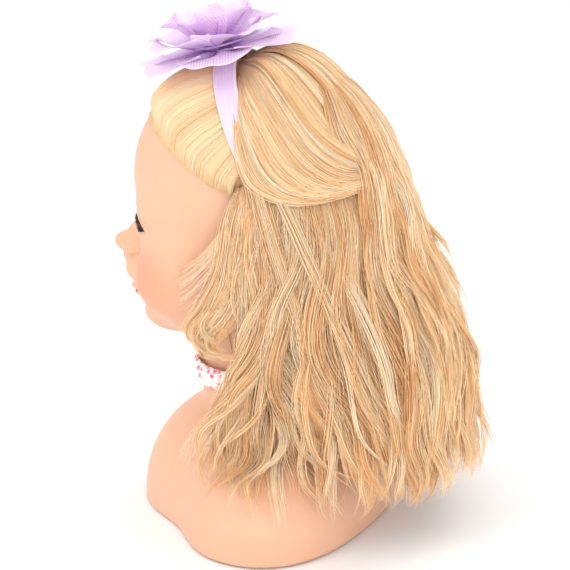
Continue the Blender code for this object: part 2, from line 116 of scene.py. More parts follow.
# ---- blended surfaces ----
def ellipsoid_distance(points, centre, radii, lean_deg):
    p = points - np.array(centre, float)
    if lean_deg:
        c, s = math.cos(math.radians(lean_deg)), math.sin(math.radians(lean_deg))
        y, z = p[..., 1] * c - p[..., 2] * s, p[..., 1] * s + p[..., 2] * c
        p = np.stack([p[..., 0], y, z], axis=-1)
    radii = np.array(radii, float)
    scaled = np.linalg.norm(p / radii, axis=-1)
    slope = np.linalg.norm(p / radii**2, axis=-1)
    return scaled * (scaled - 1) / np.maximum(slope, 1e-9)


def smooth_union(a, b, blend):
    if blend <= 0:
        return np.minimum(a, b)
    h = np.clip(0.5 + 0.5 * (b - a) / blend, 0, 1)
    return b * (1 - h) + a * h - blend * h * (1 - h)


def blended_forms(points, forms, pairs):
    total = None
    for centre, radii, lean, blend in forms:
        d = ellipsoid_distance(points, centre, radii, lean)
        total = d if total is None else smooth_union(total, d, blend)
    half = points.copy()
    half[..., 0] = np.abs(half[..., 0])
    for centre, radii, lean, blend in pairs:
        total = smooth_union(total, ellipsoid_distance(half, centre, radii, lean), blend)
    return total


def head_field(points):
    return np.maximum(blended_forms(points, HEAD_FORMS, HEAD_PAIRS), HEAD_NECK_END_Z - points[..., 2])


def bust_field(points):
    return np.maximum(blended_forms(points, BUST_FORMS, BUST_PAIRS), points[..., 2] - NECK_JOINT_Z)


def skin_field(points):
    head = blended_forms(points, HEAD_FORMS, HEAD_PAIRS)
    return np.minimum(head, blended_forms(points, BUST_FORMS, BUST_PAIRS))


def hair_field(points):
    return blended_forms(points, HAIR_FORMS, HAIR_PAIRS)


def outermost(field, centres, directions, reach=170.0, steps=90):
    """Where each ray last leaves a field's surface, as a distance along the ray, in millimetres."""
    inside = np.full(len(directions), 4.0)
    outside = np.full(len(directions), reach)
    found = np.zeros(len(directions), bool)
    last = reach
    for t in np.linspace(reach, 4.0, steps)[1:]:
        hit = (field(centres + directions * t) < 0) & ~found
        inside[hit] = t
        outside[hit] = last
        found |= hit
        last = t
    for _ in range(14):
        middle = (inside + outside) / 2
        within = field(centres + directions * middle[:, None]) < 0
        inside = np.where(within, middle, inside)
        outside = np.where(within, outside, middle)
    return (inside + outside) / 2


def smoothstep(low, high, x):
    t = np.clip((x - low) / (high - low), 0, 1)
    return t * t * (3 - 2 * t)


# ---- polar coordinates round the neck's axis: azimuth from the face, and drop ----
# drop is 0 at the top of the dome, 1 at CORE_TOP_Z and 2 on the floor.
def core_place(azimuth, drop, radius):
    """Points in millimetres from azimuth in radians, drop and radius."""
    tilt = np.clip(drop, 0, 1) * math.pi / 2
    height = np.where(drop > 1, CORE_TOP_Z * (2 - drop), CORE_TOP_Z)
    flat = np.sin(tilt) * radius
    return np.stack([flat * np.sin(azimuth), -flat * np.cos(azimuth), height + radius * np.cos(tilt)], axis=-1)


def core_coordinates(points):
    x, y, z = points[..., 0], points[..., 1], points[..., 2]
    azimuth = np.arctan2(x, -y)
    flat = np.hypot(x, y)
    rise = np.maximum(z - CORE_TOP_Z, 0)
    radius = np.hypot(flat, rise)
    dome = np.arctan2(flat, rise) / (math.pi / 2)
    drop = np.where(z > CORE_TOP_Z, dome, 2 - z / CORE_TOP_Z)
    return azimuth, drop, radius


class RadialTable:
    """A surface's radius over azimuth and drop."""

    AROUND = 180
    DOWN = 160

    def __init__(self, field):
        turn = np.linspace(-math.pi, math.pi, self.AROUND, endpoint=False)
        drop = np.linspace(0, 2, self.DOWN)
        turns, drops = np.meshgrid(turn, drop, indexing="ij")
        base = core_place(turns.ravel(), drops.ravel(), 0.0)
        ray = core_place(turns.ravel(), drops.ravel(), 1.0) - base
        self.radius = outermost(field, base, ray).reshape(self.AROUND, self.DOWN)

    def __call__(self, azimuth, drop):
        a = (azimuth + math.pi) / (2 * math.pi) * self.AROUND
        d = np.clip(drop, 0, 2) / 2 * (self.DOWN - 1)
        a0 = np.floor(a).astype(int)
        d0 = np.minimum(np.floor(d).astype(int), self.DOWN - 2)
        fa, fd = a - a0, d - d0
        left, right = a0 % self.AROUND, (a0 + 1) % self.AROUND
        near = self.radius[left, d0] * (1 - fa) + self.radius[right, d0] * fa
        far = self.radius[left, d0 + 1] * (1 - fa) + self.radius[right, d0 + 1] * fa
        return near * (1 - fd) + far * fd


SKIN = RadialTable(skin_field)
HAIR = RadialTable(hair_field)


def on_hair(points, inset):
    """Points moved along their rays to lie inset millimetres under the hair's outer surface, off the skin."""
    azimuth, drop, _ = core_coordinates(points)
    radius = np.maximum(HAIR(azimuth, drop) - inset, SKIN(azimuth, drop) + 0.8)
    return core_place(azimuth, drop, radius)


# ---- meshes ----
def mesh_object(name, points, faces, uv=None, attributes=None):
    """A mesh from arrays: points in millimetres, faces of one size, UVs per corner, attributes per point."""
    faces = np.asarray(faces, np.int32)
    mesh = bpy.data.meshes.new(name)
    mesh.vertices.add(len(points))
    mesh.vertices.foreach_set("co", (np.asarray(points, np.float32) * MM).ravel())
    mesh.loops.add(faces.size)
    mesh.loops.foreach_set("vertex_index", faces.ravel())
    mesh.polygons.add(len(faces))
    mesh.polygons.foreach_set("loop_start", np.arange(0, faces.size, faces.shape[1], dtype=np.int32))
    mesh.polygons.foreach_set("use_smooth", np.full(len(faces), True))
    mesh.update(calc_edges=True)
    for key, values in (attributes or {}).items():
        layer = mesh.attributes.new(key, "FLOAT", "POINT")
        layer.data.foreach_set("value", np.asarray(values, np.float32).ravel())
    if uv is not None:
        layer = mesh.uv_layers.new(name="OFBake")
        layer.data.foreach_set("uv", np.asarray(uv, np.float32)[faces.ravel()].ravel())
    thing = bpy.data.objects.new(name, mesh)
    bpy.context.scene.collection.objects.link(thing)
    return thing


def grid_faces(rows, columns, wrap=False):
    """Quads over a rows x columns lattice, closed over the columns when wrap is set."""
    r, c = np.meshgrid(np.arange(rows - 1), np.arange(columns if wrap else columns - 1), indexing="ij")
    n = (c + 1) % columns
    quads = np.stack([r * columns + c, r * columns + n, (r + 1) * columns + n, (r + 1) * columns + c], axis=-1)
    return quads.reshape(-1, 4)


def closed_faces(rows, columns):
    """Quads over a lattice whose last row joins its first, facing outwards."""
    last = (rows - 1) * columns
    k = np.arange(columns - 1)
    seam = np.stack([last + k, last + k + 1, k + 1, k], axis=-1)
    return np.concatenate([grid_faces(rows, columns), seam])[:, ::-1]


def lattice_uv(columns, rows):
    uv = np.stack(np.meshgrid(np.linspace(0, 1, columns), np.linspace(0, 1, rows), indexing="ij"), -1)
    return uv.reshape(-1, 2)


def ray_lattice(azimuths, elevations):
    """Unit rays over a lattice of azimuths from the face and elevations, in degrees."""
    turn, lift = np.meshgrid(np.radians(azimuths), np.radians(elevations), indexing="ij")
    flat = np.cos(lift)
    return np.stack([np.sin(turn) * flat, -np.cos(turn) * flat, np.sin(lift)], axis=-1).reshape(-1, 3)


def thicken(thing, thickness):
    shell = thing.modifiers.new("thickness", "SOLIDIFY")
    shell.thickness = thickness * MM
    shell.offset = -1.0
    shell.use_even_offset = False


def dress(piece, look, body, slot, *nodes):
    """A piece's material, the body that it rides on, its slot, which is not used, and the CAD nodes that it
    replaces.
    """
    piece.data.materials.append(look)
    if body == "blend":
        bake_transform(piece)
    else:
        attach(piece, body)
    if nodes:
        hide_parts(*nodes)


def side_name(side):
    return "left" if side > 0 else "right"


def mirrored(points, side):
    return points * np.array((side, 1, 1))


# ---- materials ----
class Look:
    """A Principled material and short ways to add nodes to it."""

    def __init__(self, name, roughness=0.5, metallic=0.0):
        self.material = bpy.data.materials.new(name)
        self.material.use_nodes = True
        self.nodes = self.material.node_tree.nodes
        self.links = self.material.node_tree.links
        self.shader = self.nodes["Principled BSDF"]
        self.set("Roughness", roughness)
        self.set("Metallic", metallic)

    def set(self, socket, value):
        self.shader.inputs[socket].default_value = value

    def node(self, kind, settings=None, **inputs):
        made = self.nodes.new(kind)
        for key, value in (settings or {}).items():
            setattr(made, key, value)
        for key, value in inputs.items():
            self.plug(made.inputs[key.replace("_", " ")], value)
        return made

    def plug(self, socket, value):
        if isinstance(value, bpy.types.NodeSocket):
            self.links.new(value, socket)
        else:
            socket.default_value = value

    def attribute(self, name):
        return self.node("ShaderNodeAttribute", {"attribute_name": name}).outputs["Fac"]

    def coordinates(self, which="Object", scale=(1, 1, 1)):
        source = self.node("ShaderNodeTexCoord").outputs[which]
        return self.node("ShaderNodeMapping", Vector=source, Scale=scale).outputs["Vector"]

    def noise(self, vector, scale, detail=3.0, output="Fac"):
        made = self.node("ShaderNodeTexNoise", Vector=vector, Scale=scale, Detail=detail)
        return made.outputs[output]

    def maths(self, operation, a, b=0.0, c=None):
        made = self.node("ShaderNodeMath", {"operation": operation})
        self.plug(made.inputs[0], a)
        self.plug(made.inputs[1], b)
        if c is not None:
            self.plug(made.inputs[2], c)
        return made.outputs[0]

    def ramp(self, factor, stops):
        made = self.node("ShaderNodeValToRGB", Fac=factor)
        ramp = made.color_ramp
        while len(ramp.elements) < len(stops):
            ramp.elements.new(0.5)
        for element, (place, colour) in zip(ramp.elements, stops):
            element.position = place
            element.color = (*colour, 1)
        return made.outputs["Color"]

    def greys(self, factor, *stops):
        """A ramp of greys, from pairs of a place and a value."""
        return self.ramp(factor, [(place, (value,) * 3) for place, value in stops])

    def value(self, colour):
        return self.node("ShaderNodeRGBToBW", Color=colour).outputs[0]

    def mix(self, factor, a, b, blend="MIX"):
        made = self.node("ShaderNodeMix", {"data_type": "RGBA", "blend_type": blend})
        for socket, value in zip((made.inputs[0], made.inputs[6], made.inputs[7]), (factor, a, b)):
            self.plug(socket, (*value, 1) if isinstance(value, tuple) and len(value) == 3 else value)
        return made.outputs[2]

    def bump(self, height, strength, distance):
        made = self.node("ShaderNodeBump", Height=height, Strength=strength, Distance=distance)
        self.links.new(made.outputs["Normal"], self.shader.inputs["Normal"])

    def colour(self, value):
        self.plug(self.shader.inputs["Base Color"], (*value, 1) if isinstance(value, tuple) else value)


def srgb(red, green, blue):
    """A linear colour from 8-bit display values."""
    shares = (red / 255, green / 255, blue / 255)
    return tuple(v / 12.92 if v <= 0.04 else ((v + 0.055) / 1.055) ** 2.4 for v in shares)


def vinyl_look():
    """Satin peach vinyl, with painted blush, lips and brows from the mesh's paint attributes."""
    look = Look("peach_vinyl_skin", roughness=0.42)
    skin = look.mix(look.noise(look.coordinates(), 45.0), srgb(227, 174, 143), srgb(232, 184, 153))
    skin = look.mix(look.attribute("blush"), skin, srgb(236, 146, 116))
    skin = look.mix(look.attribute("brow"), skin, srgb(188, 134, 92))
    skin = look.mix(look.attribute("lip"), skin, srgb(226, 84, 78))
    skin = look.mix(look.attribute("liner"), skin, srgb(96, 58, 42))
    look.colour(skin)
    look.set("Subsurface Weight", 0.18)
    look.set("Subsurface Radius", (1.0, 0.45, 0.25))
    look.set("Subsurface Scale", 0.004)
    look.set("Specular IOR Level", 0.42)
    look.bump(look.noise(look.coordinates(), 900.0, 2.0), 0.06, 0.0002)
    return look.material


BLONDES = (
    (0.0, srgb(222, 160, 104)),
    (0.35, srgb(251, 205, 150)),
    (0.7, srgb(255, 224, 180)),
    (1.0, srgb(255, 239, 210)),
)


def hair_look():
    """Blonde fibres: shade differs from strand to strand and lock to lock, and lightens away from the roots,
    where the darkening is painted shade.
    """
    look = Look("blonde_hair", roughness=0.36)
    fibre = look.ramp(look.attribute("strand"), BLONDES)
    along = look.attribute("along")
    # painted shade: the fibres darken towards their roots and grow a little lighter at the tips
    root = look.ramp(along, ((0.0, (0.80, 0.72, 0.62)), (0.25, (1.0, 1.0, 1.0)), (1.0, (1.06, 1.05, 1.02))))
    look.colour(look.mix(1.0, fibre, root, "MULTIPLY"))
    look.set("Specular IOR Level", 0.55)
    look.set("Sheen Weight", 0.15)
    look.set("Sheen Roughness", 0.4)
    fine = look.noise(look.coordinates("UV", (900.0, 6.0, 1.0)), 3.0, 2.0)
    look.bump(fine, 0.25, 0.0003)
    return look.material


# ---- hair: strands as fine tapered tubes ----
def smooth_path(points, samples):
    """A Catmull-Rom curve through points (count, 3 or 2), at even steps of its parameter."""
    p = np.asarray(points, float)
    p = np.concatenate([2 * p[:1] - p[1:2], p, 2 * p[-1:] - p[-2:-1]])
    t = np.linspace(0, len(p) - 3 - 1e-9, samples)
    i = t.astype(int)
    f = (t - i)[:, None]
    a, b, c, d = p[i], p[i + 1], p[i + 2], p[i + 3]
    return 0.5 * (2 * b + (c - a) * f + (2 * a - 5 * b + 4 * c - d) * f**2 + (3 * b - a - 3 * c + d) * f**3)


def unit(v):
    return v / np.maximum(np.linalg.norm(v, axis=-1, keepdims=True), 1e-9)


def outward(points):
    azimuth, drop, _ = core_coordinates(points)
    return unit(core_place(azimuth, drop, 1.0) - core_place(azimuth, drop, 0.0))


def strand_tubes(name, strands, radius, shade, sides=3):
    """One mesh of tapered tubes along strands (count, steps, 3); radius and shade are per strand."""
    count, steps, _ = strands.shape
    along = np.linspace(0, 1, steps)
    tangent = unit(np.gradient(strands, axis=1))
    side = unit(np.cross(tangent, outward(strands)))
    lift = np.cross(side, tangent)
    taper = np.minimum(1, (1.02 - along) * 6) * np.minimum(1, 0.5 + along * 6)
    size = radius[:, None] * taper[None, :]
    rings = []
    for k in range(sides):
        a = 2 * math.pi * k / sides + math.pi / 2
        rings.append(strands + size[..., None] * (side * math.cos(a) + lift * math.sin(a) * 0.8))
    points = np.stack(rings, axis=2).reshape(-1, 3)
    quads = grid_faces(steps, sides, wrap=True)
    offsets = (np.arange(count) * steps * sides)[:, None, None]
    faces = (quads[None] + offsets).reshape(-1, 4)
    u = (np.arange(count) + 0.5) / count
    uv_u = np.broadcast_to(u[:, None, None], (count, steps, sides))
    uv_v = np.broadcast_to(along[None, :, None], (count, steps, sides))
    spread = (np.arange(sides) / sides - 0.5) * 0.6 / count
    uv = np.stack([uv_u + spread[None, None, :], uv_v], axis=-1).reshape(-1, 2)
    attributes = {
        "strand": np.broadcast_to(shade[:, None, None], (count, steps, sides)),
        "along": np.broadcast_to(along[None, :, None], (count, steps, sides)),
    }
    return mesh_object(name, points, faces, uv, attributes)


def lock_of_strands(path, count, width, depth, rng, wave, curl=0.0, pinch=0.5, frizz=0.4, phase=None):
    """Strands that run together along a path; width and depth are half-sizes across the lock."""
    steps = len(path)
    along = np.linspace(0, 1, steps)
    tangent = unit(np.gradient(path, axis=0))
    lift = outward(path)
    side = unit(np.cross(tangent, lift))
    phase = rng.uniform(0, 2 * math.pi) if phase is None else phase
    amount, turns = wave
    sway = amount * smoothstep(0.0, 0.5, along) * np.sin(2 * math.pi * turns * along + phase)
    heave = 0.5 * amount * smoothstep(0.1, 0.6, along) * np.cos(2 * math.pi * turns * along + phase)
    end = smoothstep(0.66, 1.0, along)
    sway = sway + curl * end * np.sin(3.6 * end)
    heave = heave + abs(curl) * 0.7 * end * (1 - np.cos(3.6 * end))
    middle = path + side * sway[:, None] + lift * heave[:, None]
    spread = smoothstep(-0.15, 0.25, along) * (1 - pinch * smoothstep(0.55, 1.0, along))
    across = np.clip(rng.normal(0, 0.45, count), -1.1, 1.1)
    inside = rng.uniform(-1, 0.6, count) * np.sqrt(np.maximum(0, 1 - (across / 1.2) ** 2))
    drift = rng.normal(0, 1, (count, 3, 2))
    wander = np.zeros((count, steps, 2))
    for k in range(3):
        wander += drift[:, k, None, :] * np.sin((k + 1) * math.pi * along)[None, :, None] / (k + 1)
    across = across[:, None] * spread[None, :] * width + wander[..., 0] * frizz
    inside = inside[:, None] * spread[None, :] * depth + wander[..., 1] * frizz * 0.6
    strands = middle[None] + side[None] * across[..., None] + lift[None] * inside[..., None]
    reach = (1 - 0.28 * rng.uniform(0, 1, count) ** 1.5)[:, None] * along[None, :] * (steps - 1)
    below = np.minimum(reach.astype(int), steps - 2)
    part = (reach - below)[..., None]
    low = np.take_along_axis(strands, below[..., None], axis=1)
    high = np.take_along_axis(strands, below[..., None] + 1, axis=1)
    return low * (1 - part) + high * part


def off_skin(strands, clearance=0.7):
    """Keeps every point outside the head and bust, and just above the surface they stand on."""
    azimuth, drop, radius = core_coordinates(strands)
    radius = np.maximum(radius, SKIN(azimuth, drop) + clearance)
    kept = core_place(azimuth, drop, radius)
    kept[..., 2] = np.where(strands[..., 2] > CORE_TOP_Z, kept[..., 2], strands[..., 2])
    kept[..., 2] = np.maximum(kept[..., 2], RIM_Z)
    return kept


# ---- the head: vinyl skin with the face modelled and painted ----
MOUTH_Z = 126.3
ALMOND_WIDTH = 10.2
ALMOND_UPPER = 5.9
ALMOND_LOWER = 4.5
EYE_FRONT = unit(np.array((0.14, -1.0, 0.0)))  # the way the left eye's opening faces
MOUTH_HALF_WIDTH = 8.9
BROW_START_X, BROW_END_X, BROW_Z = 12, 37, 183.6
UNPAINTED = -5
FACE_CUTS = (
    ((3.3, -73.0, 148.2), (1.5, 2.6, 1.9), 1.2),  # nostril
    ((0, -77.2, 136.2), (1.9, 2.8, 5.0), 2.0),  # groove under the nose
    ((9.2, -66.5, 126.6), (1.6, 3.0, 1.5), 2.0),  # corner of the mouth
)
BLUSHES = (
    ((32, -43, 142), 0.8, 2, 25, 0.95),  # cheek
    ((0, -80, 153), 1.0, 2, 10, 0.18),  # tip of the nose
    ((0, -60, 110), 1.0, 3, 14, 0.2),  # chin
)  # centre, squeeze along Y, full and end radius, strength


def face_field(points):
    """The head with FACE_CUTS taken out of it on both sides."""
    total = head_field(points)
    half = points.copy()
    half[..., 0] = np.abs(half[..., 0])
    for centre, radii, blend in FACE_CUTS:
        total = -smooth_union(-total, ellipsoid_distance(half, centre, radii, 0), blend)
    return total


def almond_scale(across, rise):
    """How many times the eye opening has to grow to reach a point: 1 on its edge."""
    height = np.where(rise > 0, ALMOND_UPPER, ALMOND_LOWER)
    return np.sqrt((across / ALMOND_WIDTH) ** 2 + (rise / height) ** 2)


def eye_axes(side):
    front = mirrored(EYE_FRONT, side)
    across = unit(np.cross(front, (0, 0, -side)))
    across = unit(across + np.array((0, 0, -0.12)))  # the outer corner sits a little lower
    return front, across, unit(np.cross(front, across)) * side


def around_eye(points, side):
    """The eye opening's scale at each point, far from it and behind it very large."""
    offset = points - mirrored(np.array(EYE_CENTRE), side)
    front, across, up = eye_axes(side)
    reach = np.linalg.norm(offset, axis=-1)
    a, r, f = offset @ across, offset @ up, offset @ front
    shrink = LID_RADIUS / np.maximum(reach, 1e-6)
    return np.where(f > 0, almond_scale(a * shrink, r * shrink), 99.0)


def paint_values(points):
    """Where the face is painted: signed distances in millimetres into the lips and brows, and a soft blush."""
    x, y, z = np.abs(points[..., 0]), points[..., 1], points[..., 2]
    t = np.clip(x / MOUTH_HALF_WIDTH, 0, 1)
    bow = 0.9 * np.exp(-((x / 1.5) ** 2)) - 0.5 * np.exp(-(((x - 3.0) / 1.8) ** 2))
    top = MOUTH_Z + 0.2 + 3.5 * (1 - t**2.2) - bow
    bottom = MOUTH_Z + 0.2 - 4.2 * (1 - t**2.4)
    inside = np.minimum(np.minimum(top - z, z - bottom), MOUTH_HALF_WIDTH - x)
    lip = np.where(y < -52, inside, UNPAINTED)
    run = np.clip((x - BROW_START_X) / (BROW_END_X - BROW_START_X), 0, 1)
    arch = BROW_Z + 3.4 * np.sin(math.pi * (0.12 + 0.80 * run)) - 3.2 * run**2
    half_height = 1.15 * np.sin(math.pi * np.clip(run, 0.03, 0.97)) ** 0.5
    at_brow = (y < -20) & (x > BROW_START_X) & (x < BROW_END_X)
    brow = np.where(at_brow, half_height - np.abs(z - arch), UNPAINTED)
    blush = np.zeros(x.shape)
    for (place_x, place_y, place_z), squeeze, full, end, strength in BLUSHES:
        away = np.stack([x - place_x, (y - place_y) * squeeze, z - place_z], -1)
        blush = blush + strength * (1 - smoothstep(full, end, np.linalg.norm(away, axis=-1)))
    return {"lip": lip, "brow": brow, "blush": blush}


def build_head(look):
    azimuths = np.concatenate([np.arange(-66, 66, 0.55), np.arange(66, 294, 2.4)])
    elevations = np.concatenate([np.arange(-89.5, -60, 2.0), np.arange(-60, 24, 0.5), np.arange(24, 90, 2.2)])
    rays = ray_lattice(azimuths, elevations)
    start = np.broadcast_to(np.array(HEAD_CENTRE), rays.shape)
    points = start + rays * outermost(face_field, start, rays, reach=112.0, steps=60)[:, None]
    crease = 0.45 * np.exp(-((points[:, 2] - MOUTH_Z) / 0.55) ** 2)
    at_mouth = (np.abs(points[:, 0]) < 8.6) & (points[:, 1] < -55)
    points[:, 1] += np.where(at_mouth, crease, 0)
    for side in (1, -1):
        inward = unit(mirrored(np.array(EYE_CENTRE), side) - points)
        points += inward * (2.3 * (1 - smoothstep(1.08, 1.22, around_eye(points, side))))[:, None]
    faces = closed_faces(len(azimuths), len(elevations))
    head = mesh_object("head_skin", points, faces, attributes=paint_values(points))
    dress(head, look, "head", "peach_vinyl", "head_shell")


def lid_rays(turn, rise, scale, side):
    """Rays from the eye's centre through the scaled outline of its opening, rise high, at angles round it."""
    front, across, up = eye_axes(side)
    a = ALMOND_WIDTH * np.cos(turn) * scale
    r = rise * np.sign(np.sin(turn)) * np.abs(np.sin(turn)) ** 1.15 * scale
    f = np.sqrt(np.maximum(LID_RADIUS**2 - a**2 - r**2, 12.0))
    return unit(across * a[:, None] + up * r[:, None] + front * f[:, None])


def build_eyelid(side, look):
    """The rolled rim of the eye opening, blending out into the face."""
    centre = mirrored(np.array(EYE_CENTRE), side)
    turn = np.linspace(0, 2 * math.pi, 120, endpoint=False)
    height = np.where(np.sin(turn) > 0, ALMOND_UPPER, ALMOND_LOWER)
    reach = EYE_RADIUS + 8
    scales = (0.93, 0.97, 1.0, 1.03, 1.08, 1.14, 1.2, 1.26, 1.32, 1.38)
    lifts = (-1.9, -1.2, -0.5, 0.2, 0.36, 0.34, 0.25, 0.12, 0.0, -0.3)
    rings = []
    for scale, lift in zip(scales, lifts):
        ray = lid_rays(turn, height, scale, side)
        base = np.full(len(ray), LID_RADIUS)
        if scale > 1.05:
            base = outermost(face_field, np.broadcast_to(centre, ray.shape), ray, reach, steps=50)
        crease = 0.5 * np.exp(-(((scale - 1.26) / 0.05) ** 2)) * (np.sin(turn) > 0.25)
        rings.append(centre + ray * (base + lift - crease)[:, None])
    points = np.concatenate(rings)
    paint = paint_values(points)
    on_edge = np.repeat((np.array(scales) < 1.02).astype(float), len(turn))
    paint["liner"] = on_edge * np.tile(smoothstep(-0.1, 0.35, np.sin(turn)), len(scales))
    faces = grid_faces(len(scales), len(turn), wrap=True)
    faces = faces if side < 0 else faces[:, ::-1]
    lid = mesh_object(f"eyelid_{side_name(side)}", points, faces, attributes=paint)
    dress(lid, look, "head", "peach_vinyl")


def build_eye(side, look, lash_look):
    name = side_name(side)
    centre = mirrored(np.array(EYE_CENTRE), side)
    gaze = unit(np.array((0.05 * side, -1.0, -0.02)))
    right = unit(np.cross(gaze, (0, 0, 1)))
    up = np.cross(right, gaze)
    rings, spokes = 60, 72
    angle = np.linspace(0.001, math.pi - 0.001, rings)[:, None] * np.ones((1, spokes))
    spin = np.ones((rings, 1)) * np.linspace(0, 2 * math.pi, spokes, endpoint=False)
    ray = gaze * np.cos(angle)[..., None]
    ray = ray + (right * np.cos(spin)[..., None] + up * np.sin(spin)[..., None]) * np.sin(angle)[..., None]
    off_axis = EYE_RADIUS * np.sin(np.minimum(angle, math.pi / 2))
    bulge = 0.75 * np.maximum(0, 1 - (off_axis / 6.4) ** 2)
    points = centre + ray * (EYE_RADIUS + bulge)[..., None]
    values = {"from_pupil": np.where(angle < math.pi / 2, off_axis, 12), "spoke": np.sin(spin * 17) * 0.5 + 0.5}
    faces = grid_faces(rings, spokes, wrap=True)
    eye = mesh_object(f"eyeball_{name}", points.reshape(-1, 3), faces, attributes=values)
    dress(eye, look, "head", "eye_white", f"eye_{name}", f"cornea_{name}")
    build_lashes(side, name, centre, lash_look)


def build_lashes(side, name, centre, look):
    """Thick dark lashes along the upper lid, longest at the outer corner."""
    rng = np.random.default_rng(11)
    front, across, up = eye_axes(side)
    turn = np.repeat(np.linspace(math.radians(-4), math.radians(160), 46), 3)
    turn = turn + rng.normal(0, 0.015, len(turn))
    ray = lid_rays(turn, ALMOND_UPPER, 1.0, side)
    length = 3.4 + 0.8 * smoothstep(0.0, 1.0, np.cos(turn)) + rng.normal(0, 0.2, len(turn))
    lean = ray * 0.3 + front * 0.9 - up * 0.05 + across * (0.1 * np.cos(turn))[:, None]
    t = np.linspace(0, 1, 10)[None, :, None]
    reach = unit(lean)[:, None] * t * length[:, None, None]
    start = (centre + ray * (LID_RADIUS - 0.7))[:, None]
    lashes = start + reach + up * (t**2) * 0.8
    band_turn = np.linspace(math.radians(-10), math.radians(168), 10)
    edge = centre + lid_rays(band_turn, ALMOND_UPPER, 1.0, side) * (LID_RADIUS + 0.15)
    strands = np.concatenate([lashes, edge[None]])
    radius = np.full(len(strands), 0.2)
    radius[-1] = 0.45
    piece = strand_tubes(f"lashes_{name}", strands, radius, np.zeros(len(strands)), sides=4)
    dress(piece, look, "head", "lashes", f"eyelashes_{name}")


# ---- the bust ----
def build_bust(look):
    """The shoulders, with a rounded rim that turns in under them."""
    azimuths = np.arange(0, 360, 1.6)
    elevations = np.concatenate([np.arange(0, 60, 1.0), np.arange(60, 90, 1.5)])
    rays = ray_lattice(azimuths, elevations)
    start = np.broadcast_to(np.array(BUST_CENTRE), rays.shape)
    points = start + rays * outermost(bust_field, start, rays, reach=130.0)[:, None]
    points[:, 2] = np.maximum(points[:, 2], RIM_Z)
    points = points.reshape(len(azimuths), len(elevations), 3)
    rim = points[:, :1].copy()
    flat_rim = unit((rim - np.array(BUST_CENTRE)) * (1, 1, 0))
    rounded = rim - flat_rim * 0.5 - (0, 0, 0.35)
    inner = rim - flat_rim * 2.8 - (0, 0, 0.35)
    deep = rim - flat_rim * 3.0 + (0, 0, 3.0)
    points = np.concatenate([deep, inner, rounded, points], axis=1)
    faces = closed_faces(*points.shape[:2])
    points = points.reshape(-1, 3)
    unpainted = np.full(len(points), float(UNPAINTED))
    paint = {"lip": unpainted, "brow": unpainted, "blush": np.zeros(len(points))}
    dress(mesh_object("bust_skin", points, faces, attributes=paint), look, "bust", "peach_vinyl", "bust_shell")


# ---- hair sections ----
def guide_family(*rows):
    """Guides from rows of a share, which is how far across the family it lies, and its points' coordinates."""
    return [(share, list(zip(*coordinates))) for share, *coordinates in rows]


# Hanging hair: azimuths in degrees and heights in millimetres, from root to tip. Share 0 is next to the face.
LOOSE_GUIDES = guide_family(
    (0.00, (106, 105, 104, 104, 105, 105, 99, 91, 88, 91), (211, 186, 164, 142, 122, 104, 86, 70, 56, 44)),
    (0.12, (109, 108, 107, 107, 108, 107, 102, 96, 93, 95), (211, 186, 164, 142, 120, 102, 84, 68, 52, 38)),
    (0.26, (114, 114, 113, 112, 111, 109, 106, 102, 100, 103), (211, 188, 166, 142, 118, 98, 80, 64, 50, 36)),
    (0.42, (126, 127, 127, 125, 124, 124, 127, 131, 136, 141), (212, 190, 170, 146, 122, 100, 80, 60, 42, 22)),
    (0.60, (142, 142, 142, 141, 141, 142, 146, 150, 154, 157), (214, 188, 168, 146, 122, 100, 80, 60, 42, 24)),
    (0.80, (160, 161, 161, 162, 162, 162, 162, 163, 164, 165), (217, 186, 166, 144, 120, 98, 78, 58, 40, 22)),
    (1.00, (180, 180, 180, 180, 180, 180, 180, 180, 180, 180), (219, 184, 164, 142, 118, 96, 76, 56, 38, 22)),
)
JAW_GUIDES = guide_family(
    (0.00, (101, 99, 97, 93, 88, 84, 84, 90), (208, 194, 179, 162, 147, 134, 123, 117)),
    (1.00, (108, 106, 104, 101, 98, 95, 96, 102), (210, 190, 172, 154, 139, 127, 118, 112)),
)
CHEEK_GUIDES = guide_family(
    (0.00, (101, 95, 86, 76, 66, 59), (204, 186, 170, 158, 151, 148)),
    (1.00, (103, 98, 91, 82, 74, 70), (204, 182, 160, 145, 136, 133)),
)
# Combed hair: x, y and z of points on the left half, from root to tip, which on_hair settles on the surface.
SWEEP_GUIDES = guide_family(
    (0.00, (0, 0, 0, 0, 0, 0, 0), (3, 25, 48, 66, 79, 85, 88), (272, 277, 269, 250, 228, 219, 214)),
    (0.12, (10, 22, 36, 40, 30, 12, 0), (3, 19, 36, 53, 69, 82, 87), (270, 267, 254, 236, 221, 214, 213)),
    (0.25, (18, 38, 51, 53, 43, 21, 0), (3, 17, 32, 47, 61, 78, 87), (266, 256, 241, 223, 209, 208, 212)),
    (0.50, (29, 49, 59, 59, 49, 26, 0), (5, 12, 22, 34, 51, 74, 87), (259, 246, 229, 212, 202, 205, 211)),
    (1.00, (42, 53, 59, 60, 53, 30, 0), (8, 11, 14, 21, 41, 68, 86), (250, 237, 222, 207, 199, 203, 210)),
)
CASCADE_GUIDES = guide_family(
    (0.00, (16, 36, 42, 43, 44, 48, 56), (44, 62, 74, 84, 94, 103, 104), (262, 240, 216, 192, 165, 135, 102)),
    (0.50, (9, 21, 25, 25, 25, 28, 33), (50, 74, 86, 95, 106, 116, 122), (266, 242, 216, 190, 162, 132, 98)),
    (1.00, (1, 2, 3, 3, 3, 3, 3), (54, 78, 91, 99, 110, 122, 130), (268, 245, 217, 188, 160, 130, 96)),
)
